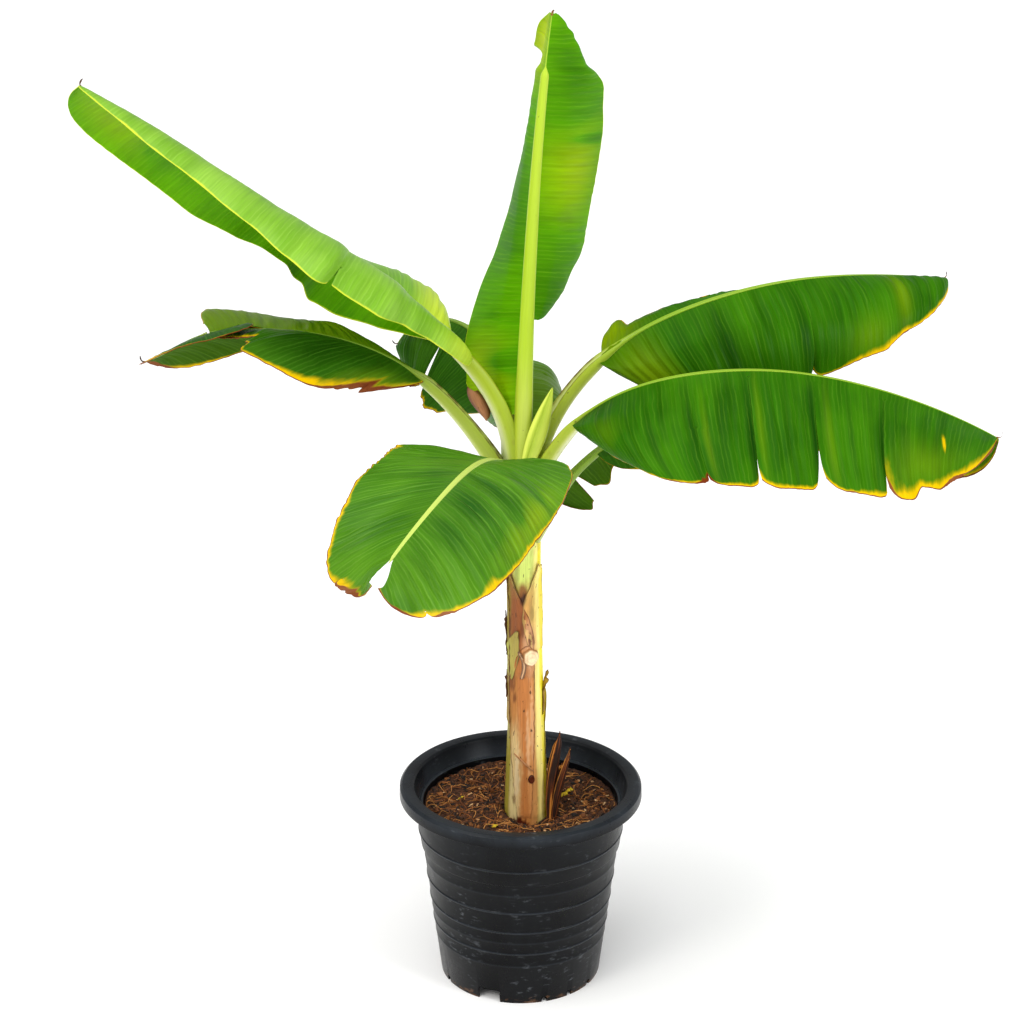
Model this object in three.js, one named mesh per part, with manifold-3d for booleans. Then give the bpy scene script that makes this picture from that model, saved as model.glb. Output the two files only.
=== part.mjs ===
// A young banana plant in a nursery pot.
// Millimetres, +Z up, the middle of the pot's foot at the origin, the plant's front toward -Y.
import * as THREE from 'three';
import { mergeVertices } from 'three/addons/utils/BufferGeometryUtils.js';
import Module from 'manifold-3d';

const wasm = await Module();
wasm.setup();

const DEG = Math.PI / 180;

// Clearance between solids that touch.
const GAP = 0.35;

// ---------------------------------------------------------------- driving dimensions

const POT = {
  height: 325,
  footRadius: 126.4,
  wallFlare: 0.123, // radius gained for each millimetre of height
  wall: 3.2,
  collarBottom: 222,
  collarStep: 3,
  lipRadius: 190,
  lipHeight: 20,
  lipThickness: 3,
  rimInnerRadius: 167,
  ledgeDepth: 33,
  ledgeRadius: 156,
  ledgeWidth: 3,
  floorUnderside: 26,
  floorThickness: 3,
  padRadius: 36,
  ridgeHeights: [94, 134, 171],
  ridgeProud: 1.4,
  ridgeHalfHeight: 3,
  segments: 30,
  notchWidth: 36,
  notchHeight: 21,
  notchAzimuths: [-113, 7, 127],
  slotWidth: 8,
  slotHeight: 9,
  slotPitch: 20,
};

const SOIL = { depthBelowRim: 48, mound: 9, segments: 24 };

const STEM = {
  // The pseudostem stands a little right of the pot's middle and leans back over it.
  foot: [10, 16],
  head: [4, 2],
  plantedDepth: 40,
  top: 812,
  footRadius: 36,
  waistRadius: 25.5,
  headRadius: 29,
  flareHeight: 150,
  sides: 14,
  steps: 9,
};

const DRY_STUB = { foot: [51, -18], top: 409, lean: [20, 12], footSize: [7, 5], planted: 25 };

const SPEAR = { foot: [9, -24, 866], length: 122, elevation: 72, azimuth: 8, radius: 13.5 };

const BLADE = { thickness: 3, alongSteps: 13, rootClearance: 0.6, bluntEnd: 0.16 };

const RIB = { sides: 8, steps: 10, depthRatio: 0.85 };

// Each leaf: where its stalk leaves the stem, stalk and blade lengths, then the climb, heading and roll of
// its midrib. Climb and heading are given at the root, the blade's base, its middle and its tip. Roll and
// the folds of each half are given at the blade's base, middle and tip. Folds are measured up from the
// level across the rib, next to the rib (foldIn) and at the margin (foldOut). Left is the
// anticlockwise side seen from above.
const LEAVES = {
  upper_left: {
    root: [-10, 5, 815], stalk: 255, blade: 655,
    climb: [95, 45, 35.5, 33], heading: [175, 187, 177, 174], roll: [15, -10, 5], sweep: [0, 17],
    girth: [20, 14, 4],
    left: { width: 150, start: 0, base: 0.15, tip: 0.7, foldIn: [45, 65, 30], foldOut: [-80, -35, 35] },
    right: { width: 165, start: 0, base: 0.08, tip: 0.7, foldIn: [78, -25, -20], foldOut: [-95, -85, -50] },
  },
  upright: {
    root: [2, -5, 800], stalk: 170, blade: 570,
    climb: [90, 88, 86, 82], heading: [-60, -30, -30, -30], roll: [-55, -65, -75], sweep: [-20, -5],
    girth: [14, 13, 5],
    left: { width: 145, start: 0.2, base: 0.3, tip: 0.6, foldIn: [45, 50, 55], foldOut: [60, 75, 75] },
    right: { width: 150, start: 0, base: 0.25, tip: 0.6, foldIn: [45, 65, 70], foldOut: [60, 85, 100] },
  },
  upper_right: {
    root: [12, 12, 815], stalk: 235, blade: 580,
    climb: [80, 45, 3, -10], heading: [18, -15, 24, 15], roll: [10, 5, -10], sweep: [15, 5],
    girth: [17, 13, 4],
    left: { width: 165, start: 0, base: 0.15, tip: 0.7, foldIn: [-50, -45, -30], foldOut: [-50, -60, -60] },
    right: { width: 150, start: 0, base: 0.15, tip: 0.7, foldIn: [-60, -35, 30], foldOut: [-90, -90, -90] },
  },
  lower_right: {
    root: [10, -2, 805], stalk: 160, blade: 670,
    climb: [68, 46, -7, -21], heading: [-18, -38, 8, -28], roll: [5, 0, -20], sweep: [30, 15],
    girth: [16, 12, 4],
    left: { width: 150, start: 0, base: 0.15, tip: 0.7, foldIn: [-75, -60, -45], foldOut: [-90, -80, -70] },
    right: { width: 205, start: 0, base: 0.15, tip: 0.7, foldIn: [-10, -40, -20], foldOut: [-95, -45, -30] },
  },
  front: {
    root: [0, -22, 780], stalk: 155, blade: 510,
    climb: [75, 30, 5, -45], heading: [-108, -103, -106, -138], roll: [0, -5, 10], sweep: [45, 30],
    girth: [15, 9, 4],
    left: { width: 180, start: 0, base: 0.15, tip: 0.7, foldIn: [5, 0, 10], foldOut: [-5, -40, -30] },
    right: { width: 155, start: 0, base: 0.15, tip: 0.7, foldIn: [10, 0, -20], foldOut: [0, -15, -45] },
  },
  lower_left: {
    root: [-6, -4, 802], stalk: 248, blade: 335,
    climb: [65, 42, 6, -7], heading: [186, 196, 165, 182], roll: [-5, 15, 5], sweep: [40, 20],
    girth: [20, 12, 6],
    left: { width: 170, start: 0, base: 0.3, tip: 0.6, foldIn: [-30, 5, 0], foldOut: [-65, -25, -30] },
    right: { width: 125, start: 0, base: 0.3, tip: 0.9, foldIn: [-5, 20, 20], foldOut: [-35, -10, -10] },
  },
  lower_left_tip: {
    root: [-463, -10, 1062], stalk: 0, blade: 128,
    climb: [-20, -30, -30, -25], heading: [160, 155, 150, 150], roll: [0, 0, 0], sweep: [-30, 15],
    girth: [5, 5, 3],
    left: { width: 40, start: 0, base: 0.1, tip: 0.3, foldIn: [10, 10, 10], foldOut: [-20, -20, -20] },
    right: { width: 70, start: 0, base: 0.1, tip: 0.3, foldIn: [-35, -35, -35], foldOut: [-50, -45, -45] },
  },
  low_right: {
    root: [12, -6, 742], stalk: 62, blade: 510,
    climb: [60, 56, 5, -28], heading: [8, 11, 20, 26], roll: [0, 0, 0], sweep: [-5, 15],
    girth: [21, 19, 4],
    left: { width: 80, start: 0, base: 0.2, tip: 0.7, foldIn: [-70, -50, -40], foldOut: [-85, -80, -80] },
    right: { width: 70, start: 0.2, base: 0.2, tip: 0.7, foldIn: [-10, -25, -30], foldOut: [-80, -80, -80] },
  },
  back_left: {
    root: [-15, 15, 770], stalk: 160, blade: 305,
    climb: [82, 72, 15, -60], heading: [90, 110, 140, 150], roll: [0, 0, 0], sweep: [-15, 20],
    girth: [16, 12, 4],
    left: { width: 120, start: 0, base: 0.1, tip: 0.7, foldIn: [-60, -45, -40], foldOut: [-85, -75, -70] },
    right: { width: 60, start: 0.05, base: 0.2, tip: 0.7, foldIn: [-30, -35, -35], foldOut: [-75, -75, -70] },
  },
  back: {
    root: [2, 25, 770], stalk: 122, blade: 340,
    climb: [80, 50, -5, -45], heading: [90, 90, 88, 88], roll: [0, 0, 0], sweep: [15, 20],
    girth: [16, 12, 4],
    left: { width: 110, start: 0, base: 0.3, tip: 0.7, foldIn: [-50, -55, -45], foldOut: [-85, -85, -75] },
    right: { width: 78, start: 0, base: 0.15, tip: 0.7, foldIn: [-15, -20, -20], foldOut: [-85, -80, -75] },
  },
};

// ---------------------------------------------------------------- materials

function finish(color, roughness) {
  return new THREE.MeshStandardMaterial({ color, roughness, metalness: 0 });
}

const FINISH = {
  pot: () => finish(0x24262b, 0.6),
  soil: () => finish(0x3a241a, 1),
  stem: () => finish(0xb39467, 0.8),
  dry: () => finish(0x5a3015, 0.9),
  stalk: () => finish(0xb7c763, 0.55),
  blade: () => finish(0x4f9a1f, 0.5),
  spear: () => finish(0xc3d82e, 0.55),
};

// ---------------------------------------------------------------- curves

// A smooth run through values given at stations, with slopes taken from the neighbouring stations.
function smoothRun(stations, values, at) {
  const last = stations.length - 1;
  const slope = (i) => {
    const a = Math.max(i - 1, 0);
    const b = Math.min(i + 1, last);
    return (values[b] - values[a]) / (stations[b] - stations[a]);
  };
  let k = 0;
  while (k < last - 1 && at > stations[k + 1]) k += 1;
  const span = stations[k + 1] - stations[k];
  const t = (at - stations[k]) / span;
  const t2 = t * t;
  const t3 = t2 * t;
  return (2 * t3 - 3 * t2 + 1) * values[k] + (t3 - 2 * t2 + t) * span * slope(k)
    + (3 * t2 - 2 * t3) * values[k + 1] + (t3 - t2) * span * slope(k + 1);
}

// A straight run between the values at a blade's base, middle and tip.
function baseMiddleTip([base, middle, tip], t) {
  return t < 0.5 ? THREE.MathUtils.lerp(base, middle, 2 * t) : THREE.MathUtils.lerp(middle, tip, 2 * t - 1);
}

// The midrib's places and frames, from the root to the tip, at even steps of its length.
function midribFrames(leaf, steps = 160) {
  const length = leaf.stalk + leaf.blade;
  const bladeStart = leaf.stalk / length;
  const stations = leaf.stalk > 0 ? [0, bladeStart, (1 + bladeStart) / 2, 1] : [0, 1 / 3, 2 / 3, 1];
  const frames = [];
  const place = new THREE.Vector3(...leaf.root);
  let before = null;
  for (let i = 0; i <= steps; i += 1) {
    const share = i / steps;
    const climb = smoothRun(stations, leaf.climb, share) * DEG;
    const heading = smoothRun(stations, leaf.heading, share) * DEG;
    const along = new THREE.Vector3(
      Math.cos(climb) * Math.cos(heading), Math.cos(climb) * Math.sin(heading), Math.sin(climb));
    if (before) place.addScaledVector(along.clone().add(before), length / steps / 2);
    before = along;
    const level = new THREE.Vector3(-Math.sin(heading), Math.cos(heading), 0);
    const up = along.clone().cross(level);
    const bladeShare = THREE.MathUtils.clamp((share - bladeStart) / (1 - bladeStart), 0, 1);
    const roll = baseMiddleTip(leaf.roll, bladeShare) * DEG;
    frames.push({
      place: place.clone(),
      along,
      across: level.clone().multiplyScalar(Math.cos(roll)).addScaledVector(up, Math.sin(roll)),
      up: up.clone().multiplyScalar(Math.cos(roll)).addScaledVector(level, -Math.sin(roll)),
    });
  }
  return { frames, length, bladeStart };
}

// The frame at a share of the whole midrib.
function frameAt(midrib, share) {
  const at = THREE.MathUtils.clamp(share, 0, 1) * (midrib.frames.length - 1);
  const low = Math.min(Math.floor(at), midrib.frames.length - 2);
  const mix = (key) => midrib.frames[low][key].clone().lerp(midrib.frames[low + 1][key], at - low);
  return { place: mix('place'), along: mix('along'), across: mix('across'), up: mix('up') };
}

// Half the rib's width at a share of the whole midrib.
function ribHalfWidth(leaf, midrib, share) {
  const [root, base, tip] = leaf.girth;
  if (share < midrib.bladeStart) return THREE.MathUtils.lerp(root, base, share / midrib.bladeStart);
  const t = (share - midrib.bladeStart) / (1 - midrib.bladeStart);
  return THREE.MathUtils.lerp(base, tip, Math.sqrt(t) * 0.35 + t * 0.65);
}

// ---------------------------------------------------------------- solids

function facingOut(geometry) {
  const place = geometry.getAttribute('position');
  const index = geometry.getIndex();
  const corner = (i) => new THREE.Vector3().fromBufferAttribute(place, index.getX(i));
  let volume = 0;
  for (let i = 0; i < index.count; i += 3) volume += corner(i).dot(corner(i + 1).cross(corner(i + 2)));
  if (volume < 0) {
    for (let i = 0; i < index.count; i += 3) {
      const second = index.getX(i + 1);
      index.setX(i + 1, index.getX(i + 2));
      index.setX(i + 2, second);
    }
  }
  return geometry;
}

// One welded closed shell, with only its positions left.
function welded(geometry) {
  geometry.deleteAttribute('normal');
  geometry.deleteAttribute('uv');
  return facingOut(mergeVertices(geometry, 1e-3));
}

function asManifold(geometry) {
  const shell = welded(geometry);
  return new wasm.Manifold(new wasm.Mesh({
    numProp: 3,
    vertProperties: new Float32Array(shell.getAttribute('position').array),
    triVerts: new Uint32Array(shell.getIndex().array),
  }));
}

function asGeometry(solid) {
  const mesh = solid.getMesh();
  const geometry = new THREE.BufferGeometry();
  geometry.setAttribute('position', new THREE.BufferAttribute(mesh.vertProperties, 3));
  geometry.setIndex(new THREE.BufferAttribute(mesh.triVerts, 1));
  geometry.computeVertexNormals();
  return geometry;
}

// The largest of the pieces a cut leaves.
function largestPiece(solid) {
  const pieces = solid.decompose();
  return pieces.reduce((best, piece) => (piece.volume() > best.volume() ? piece : best));
}

// A turned solid about the upright axis from [radius, height] pairs that start and end on the axis.
function turned(profile, segments) {
  const geometry = new THREE.LatheGeometry(profile.map(([r, z]) => new THREE.Vector2(r, z)), segments);
  return geometry.rotateX(90 * DEG);
}

// A round-sectioned limb whose frame and half widths come from functions of the share along it.
function limb(frameOf, halfWidthOf, { sides, steps, depthRatio }, grow = 0) {
  const geometry = new THREE.CylinderGeometry(1, 1, 1, sides, steps);
  const place = geometry.getAttribute('position');
  for (let i = 0; i < place.count; i += 1) {
    const share = place.getY(i) + 0.5;
    const frame = frameOf(share);
    const half = halfWidthOf(share) + grow;
    const point = frame.place
      .addScaledVector(frame.across, place.getX(i) * half)
      .addScaledVector(frame.up, place.getZ(i) * (half - grow) * depthRatio + place.getZ(i) * grow);
    place.setXYZ(i, point.x, point.y, point.z);
  }
  return geometry;
}

// ---------------------------------------------------------------- pot and soil

function wallRadius(z) {
  return POT.footRadius + POT.wallFlare * z;
}

function potBody() {
  const { height, wall, lipRadius, lipHeight, lipThickness, collarBottom, collarStep } = POT;
  const floorTop = POT.floorUnderside + POT.floorThickness;
  const lipBottom = height - lipHeight;
  const ledge = height - POT.ledgeDepth;
  const ridges = POT.ridgeHeights.flatMap((z) => [
    [wallRadius(z - POT.ridgeHalfHeight), z - POT.ridgeHalfHeight],
    [wallRadius(z) + POT.ridgeProud, z],
    [wallRadius(z + POT.ridgeHalfHeight), z + POT.ridgeHalfHeight],
  ]);
  const outside = [
    [0, 0], [POT.padRadius, 0], [POT.padRadius, POT.floorUnderside],
    [wallRadius(POT.floorUnderside) - wall, POT.floorUnderside], [wallRadius(0) - wall, 0], [wallRadius(0), 0],
    ...ridges,
    [wallRadius(collarBottom), collarBottom], [wallRadius(collarBottom) + collarStep, collarBottom + 2],
    [wallRadius(height - lipThickness) + collarStep, height - lipThickness],
    [lipRadius - lipThickness - 2, height - lipThickness], [lipRadius - lipThickness, lipBottom],
    [lipRadius, lipBottom], [lipRadius, height - 5], [lipRadius - 3, height],
  ];
  const inside = [
    [POT.rimInnerRadius, height], [POT.ledgeRadius + 1, ledge], [POT.ledgeRadius - POT.ledgeWidth, ledge],
    [wallRadius(floorTop) - wall, floorTop], [0, floorTop],
  ];
  return asManifold(turned([...outside, ...inside], POT.segments));
}

// A block that stands across the pot's skirt at an azimuth, for cutting a notch up from the foot.
function footCutter(azimuth, width, height) {
  const below = 5;
  const reach = 30;
  const block = new THREE.BoxGeometry(reach, width, height + below);
  block.translate(POT.footRadius, 0, (height - below) / 2);
  return asManifold(block.rotateZ(azimuth * DEG));
}

function pot() {
  let body = potBody();
  for (const azimuth of POT.notchAzimuths) {
    body = body.subtract(footCutter(azimuth, POT.notchWidth, POT.notchHeight));
    const slots = 360 / POT.slotPitch / POT.notchAzimuths.length;
    for (let i = 2; i < slots - 1; i += 1) {
      body = body.subtract(footCutter(azimuth + i * POT.slotPitch, POT.slotWidth, POT.slotHeight));
    }
  }
  return asGeometry(body);
}

function soilTop() {
  return POT.height - SOIL.depthBelowRim;
}

function soilBody() {
  const floorTop = POT.floorUnderside + POT.floorThickness + GAP;
  const top = soilTop();
  const inner = (z) => THREE.MathUtils.mapLinear(
    z, floorTop, POT.height - POT.ledgeDepth,
    wallRadius(floorTop) - POT.wall, POT.ledgeRadius - POT.ledgeWidth) - GAP;
  return asManifold(turned([
    [0, floorTop], [inner(floorTop) - 0.5, floorTop], [inner(top) - 0.5, top],
    [inner(top) * 0.8, top + SOIL.mound], [inner(top) * 0.45, top + SOIL.mound * 0.4], [0, top - 3],
  ], SOIL.segments));
}

// ---------------------------------------------------------------- stem, stub and spear

function stemFrame(share) {
  const bottom = soilTop() - STEM.plantedDepth;
  const z = THREE.MathUtils.lerp(bottom, STEM.top, share);
  return {
    place: new THREE.Vector3(
      THREE.MathUtils.lerp(STEM.foot[0], STEM.head[0], share),
      THREE.MathUtils.lerp(STEM.foot[1], STEM.head[1], share), z),
    across: new THREE.Vector3(1, 0, 0),
    up: new THREE.Vector3(0, 1, 0),
  };
}

function stemHalfWidth(share) {
  const above = share * (STEM.top - soilTop() + STEM.plantedDepth) - STEM.plantedDepth;
  const flare = Math.exp(-Math.max(above, 0) / STEM.flareHeight);
  const swell = THREE.MathUtils.smoothstep(share, 0.75, 1) * (STEM.headRadius - STEM.waistRadius);
  return STEM.waistRadius + (STEM.footRadius - STEM.waistRadius) * flare + swell;
}

function stem(grow = 0) {
  return limb(stemFrame, stemHalfWidth, { sides: STEM.sides, steps: STEM.steps, depthRatio: 1 }, grow);
}

function dryStub(grow = 0) {
  const bottom = soilTop() - DRY_STUB.planted;
  const frameOf = (share) => ({
    place: new THREE.Vector3(
      DRY_STUB.foot[0] + DRY_STUB.lean[0] * share,
      DRY_STUB.foot[1] + DRY_STUB.lean[1] * share,
      THREE.MathUtils.lerp(bottom, DRY_STUB.top, share)),
    across: new THREE.Vector3(DRY_STUB.footSize[0], 0, 0),
    up: new THREE.Vector3(0, DRY_STUB.footSize[1], 0),
  });
  const taper = (share) => 1 - 0.75 * share;
  return limb(frameOf, taper, { sides: 6, steps: 4, depthRatio: 1 }, grow / DRY_STUB.footSize[1]);
}

function spear() {
  const climb = SPEAR.elevation * DEG;
  const heading = SPEAR.azimuth * DEG;
  const along = new THREE.Vector3(
    Math.cos(climb) * Math.cos(heading), Math.cos(climb) * Math.sin(heading), Math.sin(climb));
  const across = new THREE.Vector3(-Math.sin(heading), Math.cos(heading), 0);
  const up = along.clone().cross(across);
  const frameOf = (share) => ({
    place: new THREE.Vector3(...SPEAR.foot).addScaledVector(along, SPEAR.length * share), across, up,
  });
  const belly = (share) => SPEAR.radius * (0.08 + Math.sin(Math.PI * (0.25 + 0.75 * share)) * 0.95);
  return limb(frameOf, belly, { sides: 8, steps: 6, depthRatio: 0.6 });
}

// ---------------------------------------------------------------- leaves

function rib(leaf, midrib, grow = 0) {
  return limb((share) => frameAt(midrib, share), (share) => ribHalfWidth(leaf, midrib, share), RIB, grow);
}

// How far a half has reached sideways and upward, for each millimetre of its width, at a share of the width
// when its fold turns evenly from foldIn to foldOut.
function foldReach(foldIn, foldOut, share) {
  const turn = foldOut - foldIn;
  if (Math.abs(turn) < 1e-3) return [Math.cos(foldIn) * share, Math.sin(foldIn) * share];
  const fold = foldIn + turn * share;
  return [(Math.sin(fold) - Math.sin(foldIn)) / turn, (Math.cos(foldIn) - Math.cos(fold)) / turn];
}

// The half's width at a share of its own length, rounded in at its base and its tip.
function halfWidth(half, share) {
  const rounded = (gone) => Math.sqrt(Math.max(1 - gone * gone, BLADE.bluntEnd ** 2));
  const atBase = share < half.base ? rounded((half.base - share) / half.base) : 1;
  const atTip = share > half.tip ? rounded((share - half.tip) / (1 - half.tip)) : 1;
  return half.width * atBase * atTip;
}

// One half of a blade, a thin closed sheet from beside the rib to the margin.
function bladeHalf(leaf, midrib, half, side) {
  const turnTotal = Math.max(...half.foldIn.map((fold, i) => Math.abs(half.foldOut[i] - fold)));
  const outSteps = turnTotal > 60 ? 4 : 3;
  const geometry = new THREE.BoxGeometry(1, 1, 1, BLADE.alongSteps, outSteps, 1);
  const place = geometry.getAttribute('position');
  for (let i = 0; i < place.count; i += 1) {
    const own = place.getX(i) + 0.5;
    const out = place.getY(i) + 0.5;
    const bladeShare = half.start + (1 - half.start) * own;
    const share = midrib.bladeStart + (1 - midrib.bladeStart) * bladeShare;
    const frame = frameAt(midrib, share);
    const foldIn = baseMiddleTip(half.foldIn, bladeShare) * DEG;
    const foldOut = baseMiddleTip(half.foldOut, bladeShare) * DEG;
    const sweep = THREE.MathUtils.lerp(leaf.sweep[0], leaf.sweep[1], bladeShare) * DEG;
    const width = halfWidth(half, own);
    const [sideways, upward] = foldReach(foldIn, foldOut, out);
    const fold = THREE.MathUtils.lerp(foldIn, foldOut, out);
    const start = ribHalfWidth(leaf, midrib, share) + BLADE.thickness / 2 + BLADE.rootClearance;
    const point = frame.place
      .addScaledVector(frame.across, side * (start + sideways * width * Math.cos(sweep)))
      .addScaledVector(frame.up, upward * width * Math.cos(sweep))
      .addScaledVector(frame.along, out * width * Math.sin(sweep))
      .addScaledVector(frame.across, -side * Math.sin(fold) * place.getZ(i) * BLADE.thickness)
      .addScaledVector(frame.up, Math.cos(fold) * place.getZ(i) * BLADE.thickness);
    place.setXYZ(i, point.x, point.y, point.z);
  }
  return geometry;
}

// ---------------------------------------------------------------- assembly

const plant = new THREE.Group();

function add(name, geometry, material) {
  const mesh = new THREE.Mesh(geometry, material);
  mesh.name = name;
  plant.add(mesh);
}

add('pot', pot(), FINISH.pot());
add('soil', asGeometry(soilBody().subtract(asManifold(stem(GAP))).subtract(asManifold(dryStub(GAP)))), FINISH.soil());
add('pseudostem', asGeometry(asManifold(stem())), FINISH.stem());
add('dry_stub', asGeometry(largestPiece(asManifold(dryStub()).subtract(asManifold(stem(GAP))))), FINISH.dry());

// Stalks crowd together at the crown, so each is cut clear of the stem and of the stalks before it.
let crowd = asManifold(stem(GAP));
const blades = [];
for (const [name, leaf] of Object.entries(LEAVES)) {
  const midrib = midribFrames(leaf);
  add(`${name}_rib`, asGeometry(largestPiece(asManifold(rib(leaf, midrib)).subtract(crowd))), FINISH.stalk());
  crowd = crowd.add(asManifold(rib(leaf, midrib, GAP)));
  blades.push([`${name}_blade_left`, bladeHalf(leaf, midrib, leaf.left, 1)]);
  blades.push([`${name}_blade_right`, bladeHalf(leaf, midrib, leaf.right, -1)]);
}
for (const [name, geometry] of blades) {
  add(name, asGeometry(largestPiece(asManifold(geometry).subtract(crowd))), FINISH.blade());
}
add('spear', asGeometry(largestPiece(asManifold(spear()).subtract(crowd))), FINISH.spear());

export default plant;
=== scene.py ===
"""A young banana plant growing in a black nursery pot.

Metres, +Z up, the middle of the pot's foot at the origin, the plant's front toward -Y. Sizes in the
plans below are in millimetres and degrees, as a grower or a mould maker would note them.
"""

import logging
import math
import random
from dataclasses import dataclass
from enum import Enum
from typing import Any, Callable, Sequence

import bmesh
import bpy
from mathutils import Matrix, Vector, noise


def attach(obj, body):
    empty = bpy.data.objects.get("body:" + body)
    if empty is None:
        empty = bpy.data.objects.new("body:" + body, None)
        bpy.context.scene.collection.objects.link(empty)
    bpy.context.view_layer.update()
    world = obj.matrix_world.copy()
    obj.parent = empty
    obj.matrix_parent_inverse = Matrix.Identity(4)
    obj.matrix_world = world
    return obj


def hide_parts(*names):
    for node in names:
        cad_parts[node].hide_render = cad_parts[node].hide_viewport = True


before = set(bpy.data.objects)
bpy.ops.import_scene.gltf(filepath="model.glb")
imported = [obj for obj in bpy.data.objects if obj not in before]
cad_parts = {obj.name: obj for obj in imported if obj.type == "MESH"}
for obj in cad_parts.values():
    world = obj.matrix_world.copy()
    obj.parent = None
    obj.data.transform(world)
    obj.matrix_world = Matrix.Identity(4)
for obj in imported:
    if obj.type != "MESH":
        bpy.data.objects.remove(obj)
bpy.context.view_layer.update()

logging.basicConfig(level=logging.INFO, format="%(message)s")
LOG = logging.getLogger("plant")

MM = 0.001
BODY = "root"
UV_NAME = "Lengthwise"
JOIN_MM = 1e-4
METRE_MM = 1000.0
WAVE_MM = 314.16  # one wave of the wave texture at scale 1
Colour = tuple[float, float, float, float]
Run = tuple[tuple[float, float], ...]


# ---------------------------------------------------------------- numbers


def linear_colour(hex_colour: str) -> Colour:
    """Turns an sRGB hex colour into linear light.

    Args:
        hex_colour: Six hex digits after a hash sign.

    Returns:
        Linear red, green, blue and a full alpha.
    """
    parts = [int(hex_colour[i : i + 2], 16) / 255 for i in (1, 3, 5)]
    red, green, blue = (c / 12.92 if c <= 0.04045 else ((c + 0.055) / 1.055) ** 2.4 for c in parts)
    return red, green, blue, 1.0


def clamp(value: float, low: float = 0.0, high: float = 1.0) -> float:
    """Keeps a value between two limits."""
    return max(low, min(high, value))


def lerp(a: float, b: float, share: float) -> float:
    """A straight run from a to b."""
    return a + (b - a) * share


def ease(low: float, high: float, value: float) -> float:
    """Rises smoothly from 0 at low to 1 at high."""
    t = clamp((value - low) / (high - low))
    return t * t * (3 - 2 * t)


def mixed(a: Sequence[float], b: Sequence[float], share: float) -> Colour:
    """Mixes two linear colours."""
    red, green, blue = (lerp(a[i], b[i], share) for i in range(3))
    return red, green, blue, 1.0


def mix_colour(first: str, second: str, share: float) -> Colour:
    """Mixes two hex colours into a linear colour."""
    return mixed(linear_colour(first), linear_colour(second), share)


def run_at(run: Run, at: float) -> float:
    """Reads a run of (place, value) pairs with eased steps between them.

    Args:
        run: Pairs in rising order of place.
        at: The place to read.

    Returns:
        The value there, level beyond either end.
    """
    if at <= run[0][0]:
        return run[0][1]
    for (a, low), (b, high) in zip(run, run[1:]):
        if at <= b:
            return lerp(low, high, ease(a, b, at))
    return run[-1][1]


def smooth_run(stations: Sequence[float], values: Sequence[float], at: float) -> float:
    """A smooth run through values given at stations.

    Args:
        stations: Rising places where the values are known.
        values: One value for each station.
        at: The place to read.

    Returns:
        The value there, with slopes taken from the neighbouring stations.
    """
    last = len(stations) - 1

    def slope(i: int) -> float:
        """The run's slope at a station."""
        a, b = max(i - 1, 0), min(i + 1, last)
        return (values[b] - values[a]) / (stations[b] - stations[a])

    k = 0
    while k < last - 1 and at > stations[k + 1]:
        k += 1
    span = stations[k + 1] - stations[k]
    t = (at - stations[k]) / span
    t2, t3 = t * t, t * t * t
    return (
        (2 * t3 - 3 * t2 + 1) * values[k]
        + (t3 - 2 * t2 + t) * span * slope(k)
        + (3 * t2 - 2 * t3) * values[k + 1]
        + (t3 - t2) * span * slope(k + 1)
    )


def base_middle_tip(values: Sequence[float], share: float) -> float:
    """A smooth run through the values at a blade's base, middle and tip."""
    return smooth_run((0.0, 0.5, 1.0), values, share)


def grain(x: float, y: float = 0.0, seed: float = 0.0) -> float:
    """Smooth random unevenness of about -1 to 1, the same on each run."""
    return noise.noise(Vector((x, y, seed * 7.31 + 0.17)))


def way_to(climb: float, heading: float) -> Vector:
    """The direction of a climb and a heading, in radians."""
    return Vector((math.cos(climb) * math.cos(heading), math.cos(climb) * math.sin(heading), math.sin(climb)))


# ---------------------------------------------------------------- finishes


Socket = bpy.types.NodeSocket
Span = tuple[float, float]


class Kind(Enum):
    """The shader nodes that the finishes are made of."""

    LENGTHWISE = "ShaderNodeUVMap"
    PLACE = "ShaderNodeTexCoord"
    PAINTED = "ShaderNodeAttribute"
    STRETCH = "ShaderNodeMapping"
    PART = "ShaderNodeSeparateXYZ"
    NOISE = "ShaderNodeTexNoise"
    WAVE = "ShaderNodeTexWave"
    RANGE = "ShaderNodeMapRange"
    MATH = "ShaderNodeMath"
    MIX = "ShaderNodeMix"
    GREY = "ShaderNodeCombineColor"
    BUMP = "ShaderNodeBump"
    SHADER = "ShaderNodeBsdfPrincipled"
    OUTPUT = "ShaderNodeOutputMaterial"


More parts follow.
